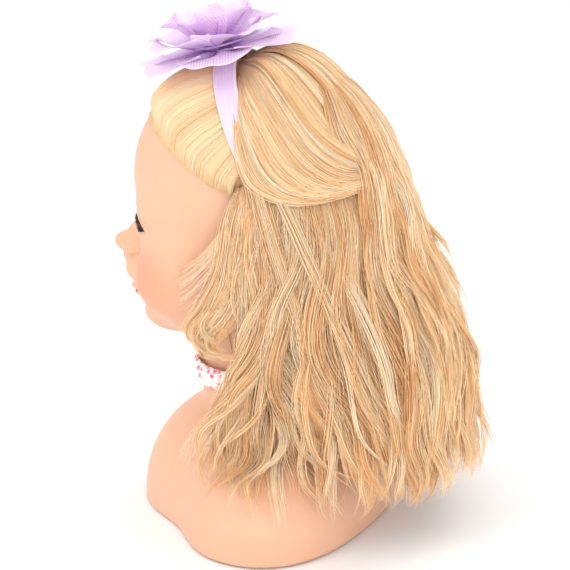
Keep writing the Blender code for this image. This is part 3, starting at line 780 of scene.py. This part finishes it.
FRONT_GUIDES = guide_family(
    (0.00, (0, 0, 0, 0), (-60, -57, -36, -7), (239, 251, 263, 269)),
    (0.33, (22, 22, 20, 18), (-50, -45, -28, -4), (233, 245, 259, 266)),
    (0.63, (44, 44, 42, 36), (-33, -26, -13, 1), (223, 235, 246, 257)),
    (0.78, (52, 53, 52, 48), (-19, -14, -4, 7), (214, 224, 235, 246)),
    (0.90, (55.5, 57, 57, 54), (-6, -2, 5, 12), (206.5, 215, 226, 238)),
    (1.00, (56.5, 58, 59, 59), (8, 10, 14, 20), (200, 207, 215, 222)),
)


def hair_place(azimuth_deg, height):
    """Points on the hair's outer surface at an azimuth and a height."""
    azimuth = np.radians(azimuth_deg)
    drop = 2 - height / CORE_TOP_Z
    for _ in range(12):
        radius = HAIR(azimuth, np.clip(drop, 0, 2))
        dome = np.arccos(np.clip((height - CORE_TOP_Z) / radius, -1, 1)) / (math.pi / 2)
        drop = np.where(height > CORE_TOP_Z, dome, 2 - height / CORE_TOP_Z)
    return core_place(azimuth, drop, HAIR(azimuth, drop))


def guide_between(guides, share, steps):
    """The path a share of the way across a family of guides, as points or (azimuth, height) pairs."""
    shares = np.array([g[0] for g in guides])
    paths = np.array([g[1] for g in guides], float)
    i = min(np.searchsorted(shares, share, side="right") - 1, len(shares) - 2)
    f = (share - shares[i]) / (shares[i + 1] - shares[i])
    f = f * f * (3 - 2 * f) * 0.5 + f * 0.5
    return smooth_path(paths[i] * (1 - f) + paths[i + 1] * f, steps)


LOOSE_STEPS = 33
# a piece with more than this is thinned out when it is exported
PIECE_TRIANGLES = 196000  # the most triangles that emit puts in one piece of strands


def cut_short(path, keep):
    """The first share of a path, on as many steps."""
    t = np.linspace(0, 1, len(path))
    return np.stack([np.interp(t * keep, t, column) for column in path.T], axis=-1)


def hanging(path, inset):
    """Azimuths and heights as points that lie inset under the hair's outer surface."""
    return on_hair(hair_place(path[:, 0], path[:, 1]), inset)


def emit(name, strands, radius, shade, look, body, nodes=()):
    """Strands as pieces small enough to export; the first one stands for the CAD nodes."""
    limit = PIECE_TRIANGLES // (6 * (strands.shape[1] - 1))
    parts = math.ceil(len(strands) / limit)
    for k, chunk in enumerate(np.array_split(np.arange(len(strands)), parts)):
        piece_name = name if parts == 1 else f"{name}_{k + 1}"
        piece = strand_tubes(piece_name, strands[chunk], radius[chunk], shade[chunk])
        dress(piece, look, body, "hair", *(nodes if k == 0 else ()))


def emit_locks(name, locks, rng, tone, radii, look, body, nodes=(), variety=0.2):
    """Emits locks, each with its own tone and each strand with its own shade and radius."""
    shade = []
    for lock in locks:
        lock_tone = np.clip(rng.normal(tone, variety), 0.05, 0.95)
        shade.append(np.clip(lock_tone + rng.normal(0, 0.17, len(lock)), 0, 1))
    strands = np.concatenate(locks)
    emit(name, strands, rng.uniform(*radii, len(strands)), np.concatenate(shade), look, body, nodes)


def combed_sheet(name, path_at, columns, tone, seed):
    """A surface along a family of paths, each column a fibre bundle of its own shade."""
    rng = np.random.default_rng(seed)
    paths = np.array([path_at(share) for share in np.linspace(0, 1, columns)])
    rows = paths.shape[1]
    streak = np.repeat(rng.normal(0, 0.07, columns // 6 + 1), 6)[:columns] + rng.normal(0, 0.12, columns)
    shade = np.clip(tone + streak, 0, 0.95)[:, None] * np.ones((1, rows))
    along = np.ones((columns, 1)) * np.linspace(0, 0.8, rows)
    values = {"strand": shade, "along": along}
    return mesh_object(name, paths.reshape(-1, 3), grid_faces(columns, rows), lattice_uv(columns, rows), values)


def front_path(share, steps, lift):
    """A combed path of the front hair; share runs from the right temple at 0 to the left one at 1."""
    own = abs(2 * share - 1)
    path = guide_between(FRONT_GUIDES, own, steps)
    t = np.linspace(0, 1, steps)
    rise = smoothstep(0.0, 0.32, t) * (1 - 0.55 * smoothstep(0.45, 1.0, t))
    inset = 5.4 - (6.2 - 1.2 * own) * rise - lift * smoothstep(0.0, 0.2, t)
    return mirrored(on_hair(path, inset), 1 if share > 0.5 else -1)


def build_front_hair(look):
    """The front, combed up from the hairline and under the headband."""
    steps, count = 22, 150
    sheet = combed_sheet("hair_front_base", lambda share: front_path(share, steps, 0.0), 900, 0.6, 20)
    dress(sheet, look, "head", "hair", "hair_front")
    rng = np.random.default_rng(21)
    locks = []
    for k in range(count):
        share = (k + rng.uniform(0, 1)) / count
        lift = rng.uniform(0.1, 0.8)
        own = np.clip(share + rng.normal(0, 0.005, 30), 0, 1)
        locks.append(np.array([front_path(o, steps, lift + rng.uniform(-0.2, 0.3)) for o in own]))
    emit_locks("hair_front_combed", locks, rng, 0.62, (0.12, 0.22), look, "head", variety=0.08)


def sweep_path(share, steps, proud):
    """A path from the band back to the gather; share 0 is along the parting, 1 the lower edge."""
    path = guide_between(SWEEP_GUIDES, share, steps)
    t = np.linspace(0, 1, steps)
    body = 2.8 * np.sin(math.pi * t) * share + 1.6 * math.sin(math.pi * share) * smoothstep(0.0, 0.3, t)
    inset = 2.0 - proud - body + 2.5 * (1 - smoothstep(0.0, 0.15, t))
    return on_hair(path, inset)


def settled(strands, side):
    """Strands kept off the skin, on the side where they belong."""
    return mirrored(off_skin(strands), side)


def build_sweep(side, look):
    """The upper hair swept from behind the band, down past the temple and back to the gather."""
    rng = np.random.default_rng(31 + side)
    steps, count = 27, 84
    name = f"hair_sweep_base_{side_name(side)}"
    # the base's tone of 0.38, darker than the locks on it, is painted shade under them
    base = combed_sheet(name, lambda share: settled(sweep_path(share, steps, -1.5), side), 420, 0.38, 33 + side)
    dress(base, look, "head", "hair")
    locks = []
    for k in range(count):
        share = ((k + rng.uniform(0.1, 0.9)) / count) ** 1.1
        path = sweep_path(share, steps, rng.uniform(-0.8, 1.9))
        phase = 6.0 * share + rng.normal(0, 0.3)
        lock = lock_of_strands(path, 36, 2.6, 1.1, rng, (0.8, 1.3), phase=phase, pinch=0.3, frizz=0.6)
        locks.append(settled(lock, side))
    nodes = ["hair_crown"] if side > 0 else []
    emit_locks(f"hair_sweep_{side_name(side)}", locks, rng, 0.58, (0.15, 0.27), look, "head", nodes)


def loose_path(guides, share, rng, inset):
    """A path of hanging hair, cut a little short at random, standing inset under the hair's outer surface."""
    t = np.linspace(0, 1, LOOSE_STEPS)
    path = cut_short(guide_between(guides, share, LOOSE_STEPS), 1 - rng.uniform(0, 0.22) ** 1.3)
    path[:, 0] += rng.normal(0, 3.4) * t**1.5 + rng.normal(0, 2.4) * np.sin(math.pi * t)
    depth = inset * smoothstep(0.05, 0.5, t) + 3.4 * (1 - smoothstep(0, 0.12, t))
    return off_skin(hanging(path, depth))


def slipped_lock(rng):
    """A lock that leaves the sweep's lower edge and falls over the hair below it."""
    swept = sweep_path(rng.uniform(0.72, 1.0), LOOSE_STEPS, 1.0)
    fallen = loose_path(LOOSE_GUIDES, rng.uniform(0.3, 0.9), rng, -1.5)
    leave = smoothstep(0.12, 0.62, np.linspace(0, 1, LOOSE_STEPS))[:, None]
    path = swept * (1 - leave) + fallen * leave
    return lock_of_strands(path, 34, 3.4, 1.2, rng, (rng.uniform(3.0, 6.0), 1.4), rng.uniform(-7, 7), 0.4, 1.4)


def waved_lock(share, rng):
    """One of the broad locks that make up most of the hanging hair."""
    path = loose_path(LOOSE_GUIDES, share, rng, rng.uniform(-2.2, 7.5))
    phase = 7.5 * share + rng.normal(0, 0.35)
    curl = rng.choice((-1, 1), p=(0.6, 0.4)) * rng.uniform(3.0, 11.0)
    swing = rng.uniform(7.0, 12.0) * (0.8 + 0.35 * share)
    turns = rng.uniform(1.5, 1.8)
    width = rng.uniform(2.8, 6.8)
    return lock_of_strands(path, 42, width, 2.2, rng, (swing, turns), curl, 0.3, 1.3, phase)


def thin_lock(rng):
    """A thin lock that stands proud of the broad ones."""
    path = loose_path(LOOSE_GUIDES, rng.uniform(0, 1), rng, rng.uniform(-2.5, 0.5))
    curl = rng.choice((-1, 1)) * rng.uniform(4.0, 10.0)
    return lock_of_strands(path, 13, 1.6, 0.8, rng, (rng.uniform(4, 8), 1.9), curl, 0.4, 1.0)


def inner_lock(rng):
    """A lock deep inside the hair, seen from the front and between the others."""
    path = loose_path(LOOSE_GUIDES, rng.uniform(0.05, 1), rng, rng.uniform(9.0, 15.0))
    return lock_of_strands(path, 30, 5.5, 1.5, rng, (4.0, 1.7), rng.uniform(-6, 6), 0.4, 1.4)


def jaw_lock(share, rng):
    """A lock that curls forward under the jaw."""
    path = loose_path(JAW_GUIDES, share, rng, rng.uniform(0.5, 4.0))
    return lock_of_strands(path, 38, 3.4, 1.8, rng, (2.4, 1.2), rng.uniform(4.5, 8.0), 0.4, 1.0, 1.0)


LOOSE_NODES = {
    "left": ("hair_side_left", "hair_back", "hair_lock_left", "hair_lengths_back"),
    "right": ("hair_side_right", "hair_lock_right"),
}


def build_loose(side, look):
    """The hair that hangs under the sweep, in waves down to the shoulders and behind them."""
    name = side_name(side)
    rng = np.random.default_rng(51 + side)
    broad, jaw = 80, 16
    locks = [waved_lock((k + rng.uniform(0, 1)) / broad, rng) for k in range(broad)]
    locks += [thin_lock(rng) for _ in range(34)]
    locks += [inner_lock(rng) for _ in range(26)]
    locks += [jaw_lock((k + rng.uniform(0, 1)) / jaw, rng) for k in range(jaw)]
    locks += [slipped_lock(rng) for _ in range(14)]
    locks = [settled(lock, side) for lock in locks]
    emit_locks(f"hair_loose_{name}", locks, rng, 0.52, (0.15, 0.28), look, "blend", LOOSE_NODES[name])


def build_cascade(side, look):
    """Hair from the crown that falls over the gather and on down the back in waves."""
    rng = np.random.default_rng(77 + side)
    t = np.linspace(0, 1, LOOSE_STEPS)
    count = 30
    locks = []
    for k in range(count):
        share = (k + rng.uniform(0, 1)) / count
        path = cut_short(guide_between(CASCADE_GUIDES, share, LOOSE_STEPS), rng.uniform(0.72, 1.0))
        tuck = 3.4 * (1 - smoothstep(0.0, 0.35, share)) * (1 - smoothstep(0.5, 0.8, t))
        over = rng.uniform(-3.2, -0.6) + tuck
        path = on_hair(path, over * smoothstep(0.0, 0.3, t) + 2.5 * (1 - smoothstep(0, 0.15, t)))
        phase = 6.0 * share + rng.normal(0, 0.4)
        curl = rng.choice((-1, 1)) * rng.uniform(3.0, 7.0)
        wave = (rng.uniform(3.0, 6.5), rng.uniform(1.4, 2.0))
        lock = lock_of_strands(path, 36, rng.uniform(3.2, 5.2), 2.0, rng, wave, curl, 0.5, 1.2, phase)
        locks.append(settled(lock, side))
    emit_locks(f"hair_cascade_{side_name(side)}", locks, rng, 0.56, (0.15, 0.27), look, "blend")


def build_flyaways(look):
    """Single hairs that escape over the cheek, from the silhouette and at the tips."""
    rng = np.random.default_rng(91)
    steps = 30
    t = np.linspace(0, 1, steps)
    strands = []
    for _ in range(240):
        side = rng.choice((-1, 1))
        share = rng.uniform(0, 1) ** 1.5
        path = guide_between(LOOSE_GUIDES, share, steps)
        path[:, 0] += (rng.normal(-6, 7) if share < 0.15 else rng.normal(0, 9)) * t**1.3
        inset = -rng.uniform(0.0, 6.5) * t**1.6
        place = hanging(path, inset)
        wave = np.sin(2 * math.pi * rng.uniform(0.8, 1.8) * t + rng.uniform(0, 6.28)) * rng.uniform(1, 4) * t
        place = place + unit(np.cross(outward(place), (0, 0, 1))) * wave[:, None]
        strands.append(settled(place, side))
    for _ in range(110):
        side = rng.choice((-1, 1))
        path = guide_between(CHEEK_GUIDES, rng.uniform(0, 1), steps)
        path[:, 0] += rng.normal(0, 2.5) * t
        path[:, 1] += rng.normal(0, 3.5) * t + rng.uniform(0, 9) * np.sin(2.4 * t) * t
        strands.append(settled(hanging(path, 3.5 - 2.5 * t), side))
    strands = np.array(strands)
    shade = rng.uniform(0.5, 1.0, len(strands))
    emit("hair_flyaway", strands, np.full(len(strands), 0.11), shade, look, "blend")


def build_underlayer(look):
    """A dense backing under the loose hair, so the scalp never shows between the strands; its dark tone is
    painted shade deep in the hair.
    """
    steps = 50
    t = np.linspace(0, 1, steps)

    def backing_path(share):
        path = cut_short(guide_between(LOOSE_GUIDES, 1 - abs(2 * share - 1), steps), 0.80)
        edge = 1 - smoothstep(0.0, 0.05, 0.5 - abs(share - 0.5))
        inset = 6.0 + 3.5 * smoothstep(0.4, 1.0, t) + 3.0 * edge
        return mirrored(off_skin(hanging(path, inset), 1.5), 1 if share > 0.5 else -1)

    # a tone of 0.2, darker than the strands, paints the shade inside the hair
    dress(combed_sheet("hair_underlayer", backing_path, 700, 0.2, 5), look, "blend", "hair")


def build_scalp(look):
    """The rooted hair close to the scalp, from behind the hairline to the nape, darker than the strands over it
    as painted shade.
    """
    rng = np.random.default_rng(6)
    columns, rows = 540, 60
    turn = np.radians(np.linspace(-180, 180, columns))[:, None]
    trial = np.linspace(0.01, 1.0, 200)[None, :]
    places = core_place(turn + 0 * trial, trial + 0 * turn, SKIN(turn + 0 * trial, trial + 0 * turn))
    height = (places - np.array(HAIRLINE_POINT)) @ unit(np.array(HAIRLINE_NORMAL))
    last_drop = np.max(np.where(height > 4.0, trial, 0.01), axis=1)[:, None]
    down = np.linspace(0, 1, rows)[None, :]
    drop = 0.01 + (last_drop - 0.01) * down
    azimuth = turn + 0 * drop
    points = core_place(azimuth, drop, SKIN(azimuth, drop) + 2.2 - 1.8 * smoothstep(0.9, 1.0, down))
    # a low tone and a root value of 0.2 paint the shade under the strands
    tone = np.clip(rng.normal(0.3, 0.12, (columns, 1)), 0, 0.6) * np.ones((1, rows))
    values = {"strand": tone, "along": np.full((columns, rows), 0.2)}
    faces = grid_faces(columns, rows)
    cap = mesh_object("hair_roots", points.reshape(-1, 3), faces, lattice_uv(columns, rows), values)
    dress(cap, look, "head", "hair")


# ---- the headband, its flower and the choker ----
BAND_HUB_Z = 205.0  # the ribbon is laid out round a point of the band's plane at this height
BAND_HALF_TURN_deg = 80


def build_band(look):
    """The satin ribbon over the crown, crowned across its width."""
    origin = np.array((0, BAND_POINT[1] + (BAND_POINT[2] - BAND_HUB_Z) * BAND_SLOPE, BAND_HUB_Z))
    up = unit(np.array((0, -BAND_NORMAL[2], BAND_NORMAL[1])))
    rows, columns = 150, 15
    half_turn = math.radians(BAND_HALF_TURN_deg)
    turn = np.linspace(-half_turn, half_turn, rows)
    ray = np.sin(turn)[:, None] * np.array((1, 0, 0)) + np.cos(turn)[:, None] * up
    ray = np.repeat(ray, columns, axis=0)
    across = np.tile(np.linspace(-0.5, 0.5, columns), rows)
    start = origin + across[:, None] * BAND_WIDTH * unit(np.array(BAND_NORMAL))
    crown = 1.5 - 1.4 * (2 * across) ** 6
    points = start + ray * (outermost(hair_field, start, ray, reach=110.0) + crown)[:, None]
    uv = np.stack([across + 0.5, np.repeat(np.linspace(0, 1, rows), columns)], axis=-1)
    ribbon = mesh_object("headband_satin", points, grid_faces(rows, columns), uv, {"across": across})
    thicken(ribbon, 0.5)
    dress(ribbon, look, "head", "ribbon", "headband_ribbon", "headband_core")


def flower_frame():
    """The flower's middle, its axis and two directions square to it."""
    lean = math.radians(FLOWER_LEAN_deg)
    axis = unit(np.array((0.05, -math.sin(lean), math.cos(lean))))
    side = unit(np.cross((0, 1, 0), axis))
    return np.array(FLOWER_CENTRE), axis, side, np.cross(axis, side)


# Name, CAD node, petals, reach, half-width, rise, curl at the tip, first petal's turn, seed, and the width and
# length of the flat sheet in metres.
PETAL_RINGS = (
    ("organza_outer", "flower_petals_outer", 6, 48.0, 23.0, 1.0, -2.0, 0.25, 1, (0.21, 0.047)),
    ("organza_middle", "flower_petals_middle", 5, 42.0, 21.0, 11.0, 0.5, 0.8, 2, (0.165, 0.042)),
    ("organza_inner", "flower_petals_inner", 5, 29.0, 15.0, 19.0, 1.5, 0.1, 3, (0.11, 0.034)),
    ("organza_knot", "flower_heart", 4, 10.0, 7.0, 17.0, 1.0, 0.6, 4, (0.045, 0.019)),
)


def build_petals(look, name, node, petals, reach, width, rise, curl, start_turn, seed, flat):
    """A ring of loose organza petals, each gathered to the middle and ruffled at its rim."""
    rng = np.random.default_rng(seed)
    centre, axis, e1, e2 = flower_frame()
    rows, columns = 30, 41
    v, u = np.meshgrid(np.linspace(0, 1, rows), np.linspace(-1, 1, columns), indexing="ij")
    points, faces, uvs, depth = [], [], [], []
    for k in range(petals):
        turn = start_turn + 2 * math.pi * (k + rng.uniform(-0.12, 0.12)) / petals
        out = e1 * math.cos(turn) + e2 * math.sin(turn)
        along = np.cross(axis, out)
        long = reach * rng.uniform(0.92, 1.05)
        wide = width * rng.uniform(0.95, 1.1)
        half = wide * (0.14 + 0.86 * np.sin(v * math.pi * 0.60) ** 0.8)
        rounded = 1 - 0.5 * np.abs(u) ** 2.3 * smoothstep(0.25, 1.0, v)
        radial = long * (0.06 + 0.94 * v * rounded)
        gather = 1 - smoothstep(0.0, 0.75, v)
        phase = rng.uniform(0, 6.28, 3)
        folds = 1.3 * gather * np.sin(u * 6.0 + phase[0]) * smoothstep(0, 0.15, v)
        ruffle = 1.3 * v**2 * np.sin(u * 3.4 + phase[1]) + 0.35 * v**2.5 * np.sin(u * 8 + phase[2])
        lift = rise * np.sin(v * math.pi * 0.5) ** 0.8 + curl * v**3 + folds + ruffle + 4.0 * np.abs(u) ** 2 * v
        place = centre + out * radial[..., None] + along * (half * u)[..., None] + axis * lift[..., None]
        faces.append(grid_faces(rows, columns) + k * rows * columns)
        points.append(place.reshape(-1, 3))
        uvs.append(np.stack([(half * u * MM * 12 + 0.5 + k), v * long * MM * 12], -1).reshape(-1, 2))
        depth.append((v + 0.12 * np.abs(u)).ravel())
    faces = np.concatenate(faces)
    ring = mesh_object(name, np.concatenate(points), faces, None, {"outward": np.concatenate(depth)})
    layer = ring.data.uv_layers.new(name="Weave")
    layer.data.foreach_set("uv", np.concatenate(uvs).astype(np.float32)[faces.ravel()].ravel())
    dress(ring, look, "head", "gauze", node)


CHOKER_RADIUS, CHOKER_LOW_Z, CHOKER_HEIGHT = 28.5, 75.4, 12.4
CHOKER_GATHERS = 31  # ripples in each radian round the neck


def build_choker(look):
    """A soft tube-like band of cotton, gathered round the neck and open at the nape."""
    rows, columns = 26, 420
    v = np.linspace(0, 1, rows)[:, None] * np.ones((1, columns))
    turn = np.ones((rows, 1)) * np.radians(np.linspace(-176, 176, columns))
    ripple = turn * CHOKER_GATHERS
    bulge = 2.9 * np.sin(math.pi * v) ** 0.55
    gather = 0.42 * np.sin(ripple + 2.0 * np.sin(turn * 5)) * np.sin(math.pi * v) ** 0.4
    hem = 0.5 * np.sin(ripple + 1.0) * (np.abs(2 * v - 1) ** 6)
    radius = CHOKER_RADIUS + bulge + gather + hem * 0.6
    height = CHOKER_LOW_Z + CHOKER_HEIGHT * v + 0.35 * np.sin(turn * 3)
    points = np.stack([radius * np.sin(turn), -radius * np.cos(turn), height + hem * 0.5], axis=-1)
    uv = np.stack([(turn + math.pi) / (2 * math.pi), v], axis=-1)
    faces = grid_faces(rows, columns)[:, ::-1]
    band = mesh_object("choker_cotton", points.reshape(-1, 3), faces, uv.reshape(-1, 2))
    thicken(band, 0.35)
    dress(band, look, "bust", "floral_cotton", "choker_band")


# ---- the other materials ----
def satin_ribbon_look():
    """Lilac satin with fine threads along it and a paler hem."""
    look = Look("lilac_satin", roughness=0.38)
    thread = look.noise(look.coordinates("UV", (26.0, 1.4, 1.0)), 3.0, 4.0)
    tones = ((0.30, srgb(206, 174, 222)), (0.5, srgb(227, 203, 236)), (0.72, srgb(243, 226, 243)))
    body = look.ramp(thread, tones)
    edge = look.maths("ABSOLUTE", look.attribute("across"))
    hem = look.value(look.greys(edge, (0.40, 0), (0.45, 1)))
    look.colour(look.mix(hem, body, srgb(246, 233, 250)))
    look.set("Sheen Weight", 0.3)
    look.set("Specular IOR Level", 0.5)
    weave = look.noise(look.coordinates("UV", (60.0, 900.0, 1.0)), 2.0, 1.0)
    look.bump(weave, 0.25, 0.0003)
    return look.material


def organza_look():
    """Sheer lilac gauze with a fine check: dense threads, open squares, and painted shade that deepens the
    colour towards the flower's middle.
    """
    look = Look("lilac_organza", roughness=0.55)
    uv = look.node("ShaderNodeUVMap", {"uv_map": "Weave"}).outputs["UV"]
    split = look.node("ShaderNodeSeparateXYZ", Vector=uv)
    checks = []
    for axis in ("X", "Y"):
        wave = look.maths("SINE", look.maths("MULTIPLY", split.outputs[axis], 330.0))
        checks.append(look.maths("MULTIPLY_ADD", wave, 0.5, 0.5))
    check = look.maths("MULTIPLY", look.maths("ADD", checks[0], checks[1]), 0.5)
    outward_place = look.attribute("outward")
    # painted shade: the lilac darkens towards the gathered middle of the flower
    stops = (
        (0.0, srgb(184, 104, 222)),
        (0.2, srgb(208, 150, 230)),
        (0.5, srgb(228, 188, 236)),
        (1.0, srgb(240, 212, 242)),
    )
    tone = look.ramp(outward_place, stops)
    look.colour(look.mix(look.maths("MULTIPLY", check, 0.35), tone, srgb(250, 238, 252)))
    solid = look.maths("MULTIPLY_ADD", check, 0.42, 0.5)
    dense = look.value(look.greys(outward_place, (0.0, 1), (0.4, 0.22), (0.93, 0.16), (1.0, 0.7)))
    look.links.new(look.maths("MINIMUM", look.maths("ADD", solid, dense), 1.0), look.shader.inputs["Alpha"])
    look.set("Sheen Weight", 0.35)
    look.bump(check, 0.3, 0.0002)
    return look.material


def floral_look():
    """White cotton printed with small pink flowers and grey-green leaves."""
    look = Look("floral_cotton_print", roughness=0.8)
    place = look.coordinates("Object", (1000.0, 1000.0, 1000.0))
    wobble = look.noise(place, 0.35, 2.0, "Color")
    bend = look.node("ShaderNodeVectorMath", {"operation": "MULTIPLY_ADD"})
    for socket, value in zip(bend.inputs, (wobble, (2.2, 2.2, 2.2), place)):
        look.plug(socket, value)
    bent_place = bend.outputs[0]
    flowers = look.node("ShaderNodeTexVoronoi", Vector=bent_place, Scale=0.24).outputs["Distance"]
    petals = (
        (0.0, srgb(196, 60, 92)),
        (0.10, srgb(214, 88, 120)),
        (0.18, srgb(240, 140, 170)),
        (0.36, srgb(246, 176, 196)),
        (0.41, srgb(252, 246, 244)),
        (1.0, srgb(253, 249, 247)),
    )
    shape = look.ramp(flowers, petals)
    leaves = look.node("ShaderNodeTexVoronoi", Vector=look.coordinates("Object", (1700, 1700, 900)), Scale=0.17)
    leaf = look.greys(leaves.outputs["Distance"], (0.15, 1), (0.22, 0))
    open_ground = look.greys(flowers, (0.42, 0), (0.46, 1))
    mask = look.value(look.mix(1.0, leaf, open_ground, "MULTIPLY"))
    look.colour(look.mix(mask, shape, srgb(148, 168, 150)))
    look.set("Sheen Weight", 0.25)
    look.bump(look.noise(look.coordinates("Object", (1500, 1500, 1500)), 1.0, 2.0), 0.35, 0.0003)
    return look.material


def eye_look():
    """A glossy eye: pupil, streaked brown iris, dark ring and white, by the distance from the gaze axis."""
    look = Look("glass_eye", roughness=0.06)
    reach = look.attribute("from_pupil")
    scaled = look.maths("DIVIDE", reach, 12.0)
    stops = (
        (0.0, srgb(16, 10, 8)),
        (0.19, srgb(20, 12, 9)),
        (0.215, srgb(78, 44, 24)),
        (0.36, srgb(116, 70, 38)),
        (0.455, srgb(70, 40, 24)),
        (0.49, srgb(28, 17, 12)),
        (0.515, srgb(246, 244, 242)),
        (1.0, srgb(248, 244, 240)),
    )
    base = look.ramp(scaled, stops)
    streak = look.maths("MULTIPLY", look.attribute("spoke"), 0.25)
    inside = look.value(look.greys(scaled, (0.44, 1), (0.50, 0)))
    look.colour(look.mix(look.maths("MULTIPLY", streak, inside), base, srgb(176, 118, 70)))
    look.set("Coat Weight", 1.0)
    look.set("Coat Roughness", 0.03)
    return look.material


def plain_look(name, low, high, roughness, scale=220.0, metallic=0.0, bump=0.15):
    """A moulded or turned surface with slight mottling and a fine grain."""
    look = Look(name, roughness=roughness, metallic=metallic)
    grain = look.noise(look.coordinates(), scale)
    look.colour(look.ramp(grain, ((0.3, low), (0.7, high))))
    look.bump(look.noise(look.coordinates(), scale * 4, 2.0), bump, 0.0002)
    return look.material


def dress_frame():
    """Better materials on the CAD nodes that stay."""
    ivory = plain_look("ivory_moulding", srgb(236, 226, 208), srgb(246, 238, 222), 0.45)
    rubber = plain_look("grey_rubber", srgb(70, 68, 66), srgb(92, 90, 88), 0.85, bump=0.4)
    steel = plain_look("turned_steel", srgb(150, 152, 156), srgb(186, 188, 192), 0.3, metallic=1.0)
    felt = plain_look("lilac_felt", srgb(196, 160, 218), srgb(218, 186, 234), 0.95, 600.0, bump=0.8)
    dressed = {"flower_backing": felt, "neck_screw": steel, "choker_stud": steel}
    dressed.update({name: ivory for name in ("base_plate", "neck_plug", "neck_washer", "neck_retainer")})
    dressed.update({name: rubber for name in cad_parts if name.startswith("foot_pad")})
    for name, look in dressed.items():
        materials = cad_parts[name].data.materials
        materials.clear()
        materials.append(look)


# ---- stage ----
CAMERA_PLACE = Vector((0.8983, 0.2407, 0.440))
CAMERA_BACK = Vector((0.92269, 0.22285, 0.31460))
CAMERA_LENS_mm = 105.44


def area_light(name, place, target, size, watts, colour=(1, 1, 1)):
    data = bpy.data.lights.new(name, "AREA")
    data.shape = "DISK"
    data.size = size
    data.energy = watts
    data.color = colour
    lamp = bpy.data.objects.new(name, data)
    lamp.location = place
    lamp.rotation_euler = (Vector(target) - Vector(place)).to_track_quat("-Z", "Y").to_euler()
    bpy.context.scene.collection.objects.link(lamp)


def build_stage():
    scene = bpy.context.scene
    floor_look = Look("pale_floor", roughness=0.9)
    floor_look.colour(srgb(252, 252, 252))
    bpy.ops.mesh.primitive_plane_add(size=8.0, location=(0, 0, 0))
    floor = bpy.context.object
    floor.name = "floor"
    floor.data.materials.append(floor_look.material)
    scene.world = bpy.data.worlds.new("studio")
    scene.world.use_nodes = True
    background = scene.world.node_tree.nodes["Background"]
    background.inputs["Color"].default_value = (1, 1, 1, 1)
    background.inputs["Strength"].default_value = 1.0
    middle = (0, 0, 0.15)
    area_light("key", (0.9, -0.9, 1.3), middle, 1.0, 7.0, (1.0, 0.99, 0.97))
    area_light("fill", (1.4, 0.5, 0.45), middle, 1.2, 6.0)
    area_light("rim", (-0.7, 0.6, 1.1), middle, 0.8, 3.0)
    data = bpy.data.cameras.new("camera")
    data.lens = CAMERA_LENS_mm
    data.sensor_width = 36.0
    camera = bpy.data.objects.new("camera", data)
    camera.location = CAMERA_PLACE
    camera.rotation_euler = CAMERA_BACK.to_track_quat("Z", "Y").to_euler()
    scene.collection.objects.link(camera)
    scene.camera = camera
    scene.view_settings.view_transform = "Standard"


def main():
    skin = vinyl_look()
    blonde = hair_look()
    lash = plain_look("lash_brown", srgb(44, 26, 18), srgb(62, 38, 26), 0.5)
    eye = eye_look()
    build_head(skin)
    build_bust(skin)
    for side in (1, -1):
        build_eyelid(side, skin)
        build_eye(side, eye, lash)
        build_sweep(side, blonde)
        build_loose(side, blonde)
        build_cascade(side, blonde)
    build_scalp(blonde)
    build_underlayer(blonde)
    build_front_hair(blonde)
    build_flyaways(blonde)
    build_band(satin_ribbon_look())
    organza = organza_look()
    for ring in PETAL_RINGS:
        build_petals(organza, *ring)
    build_choker(floral_look())
    dress_frame()
    build_stage()


main()
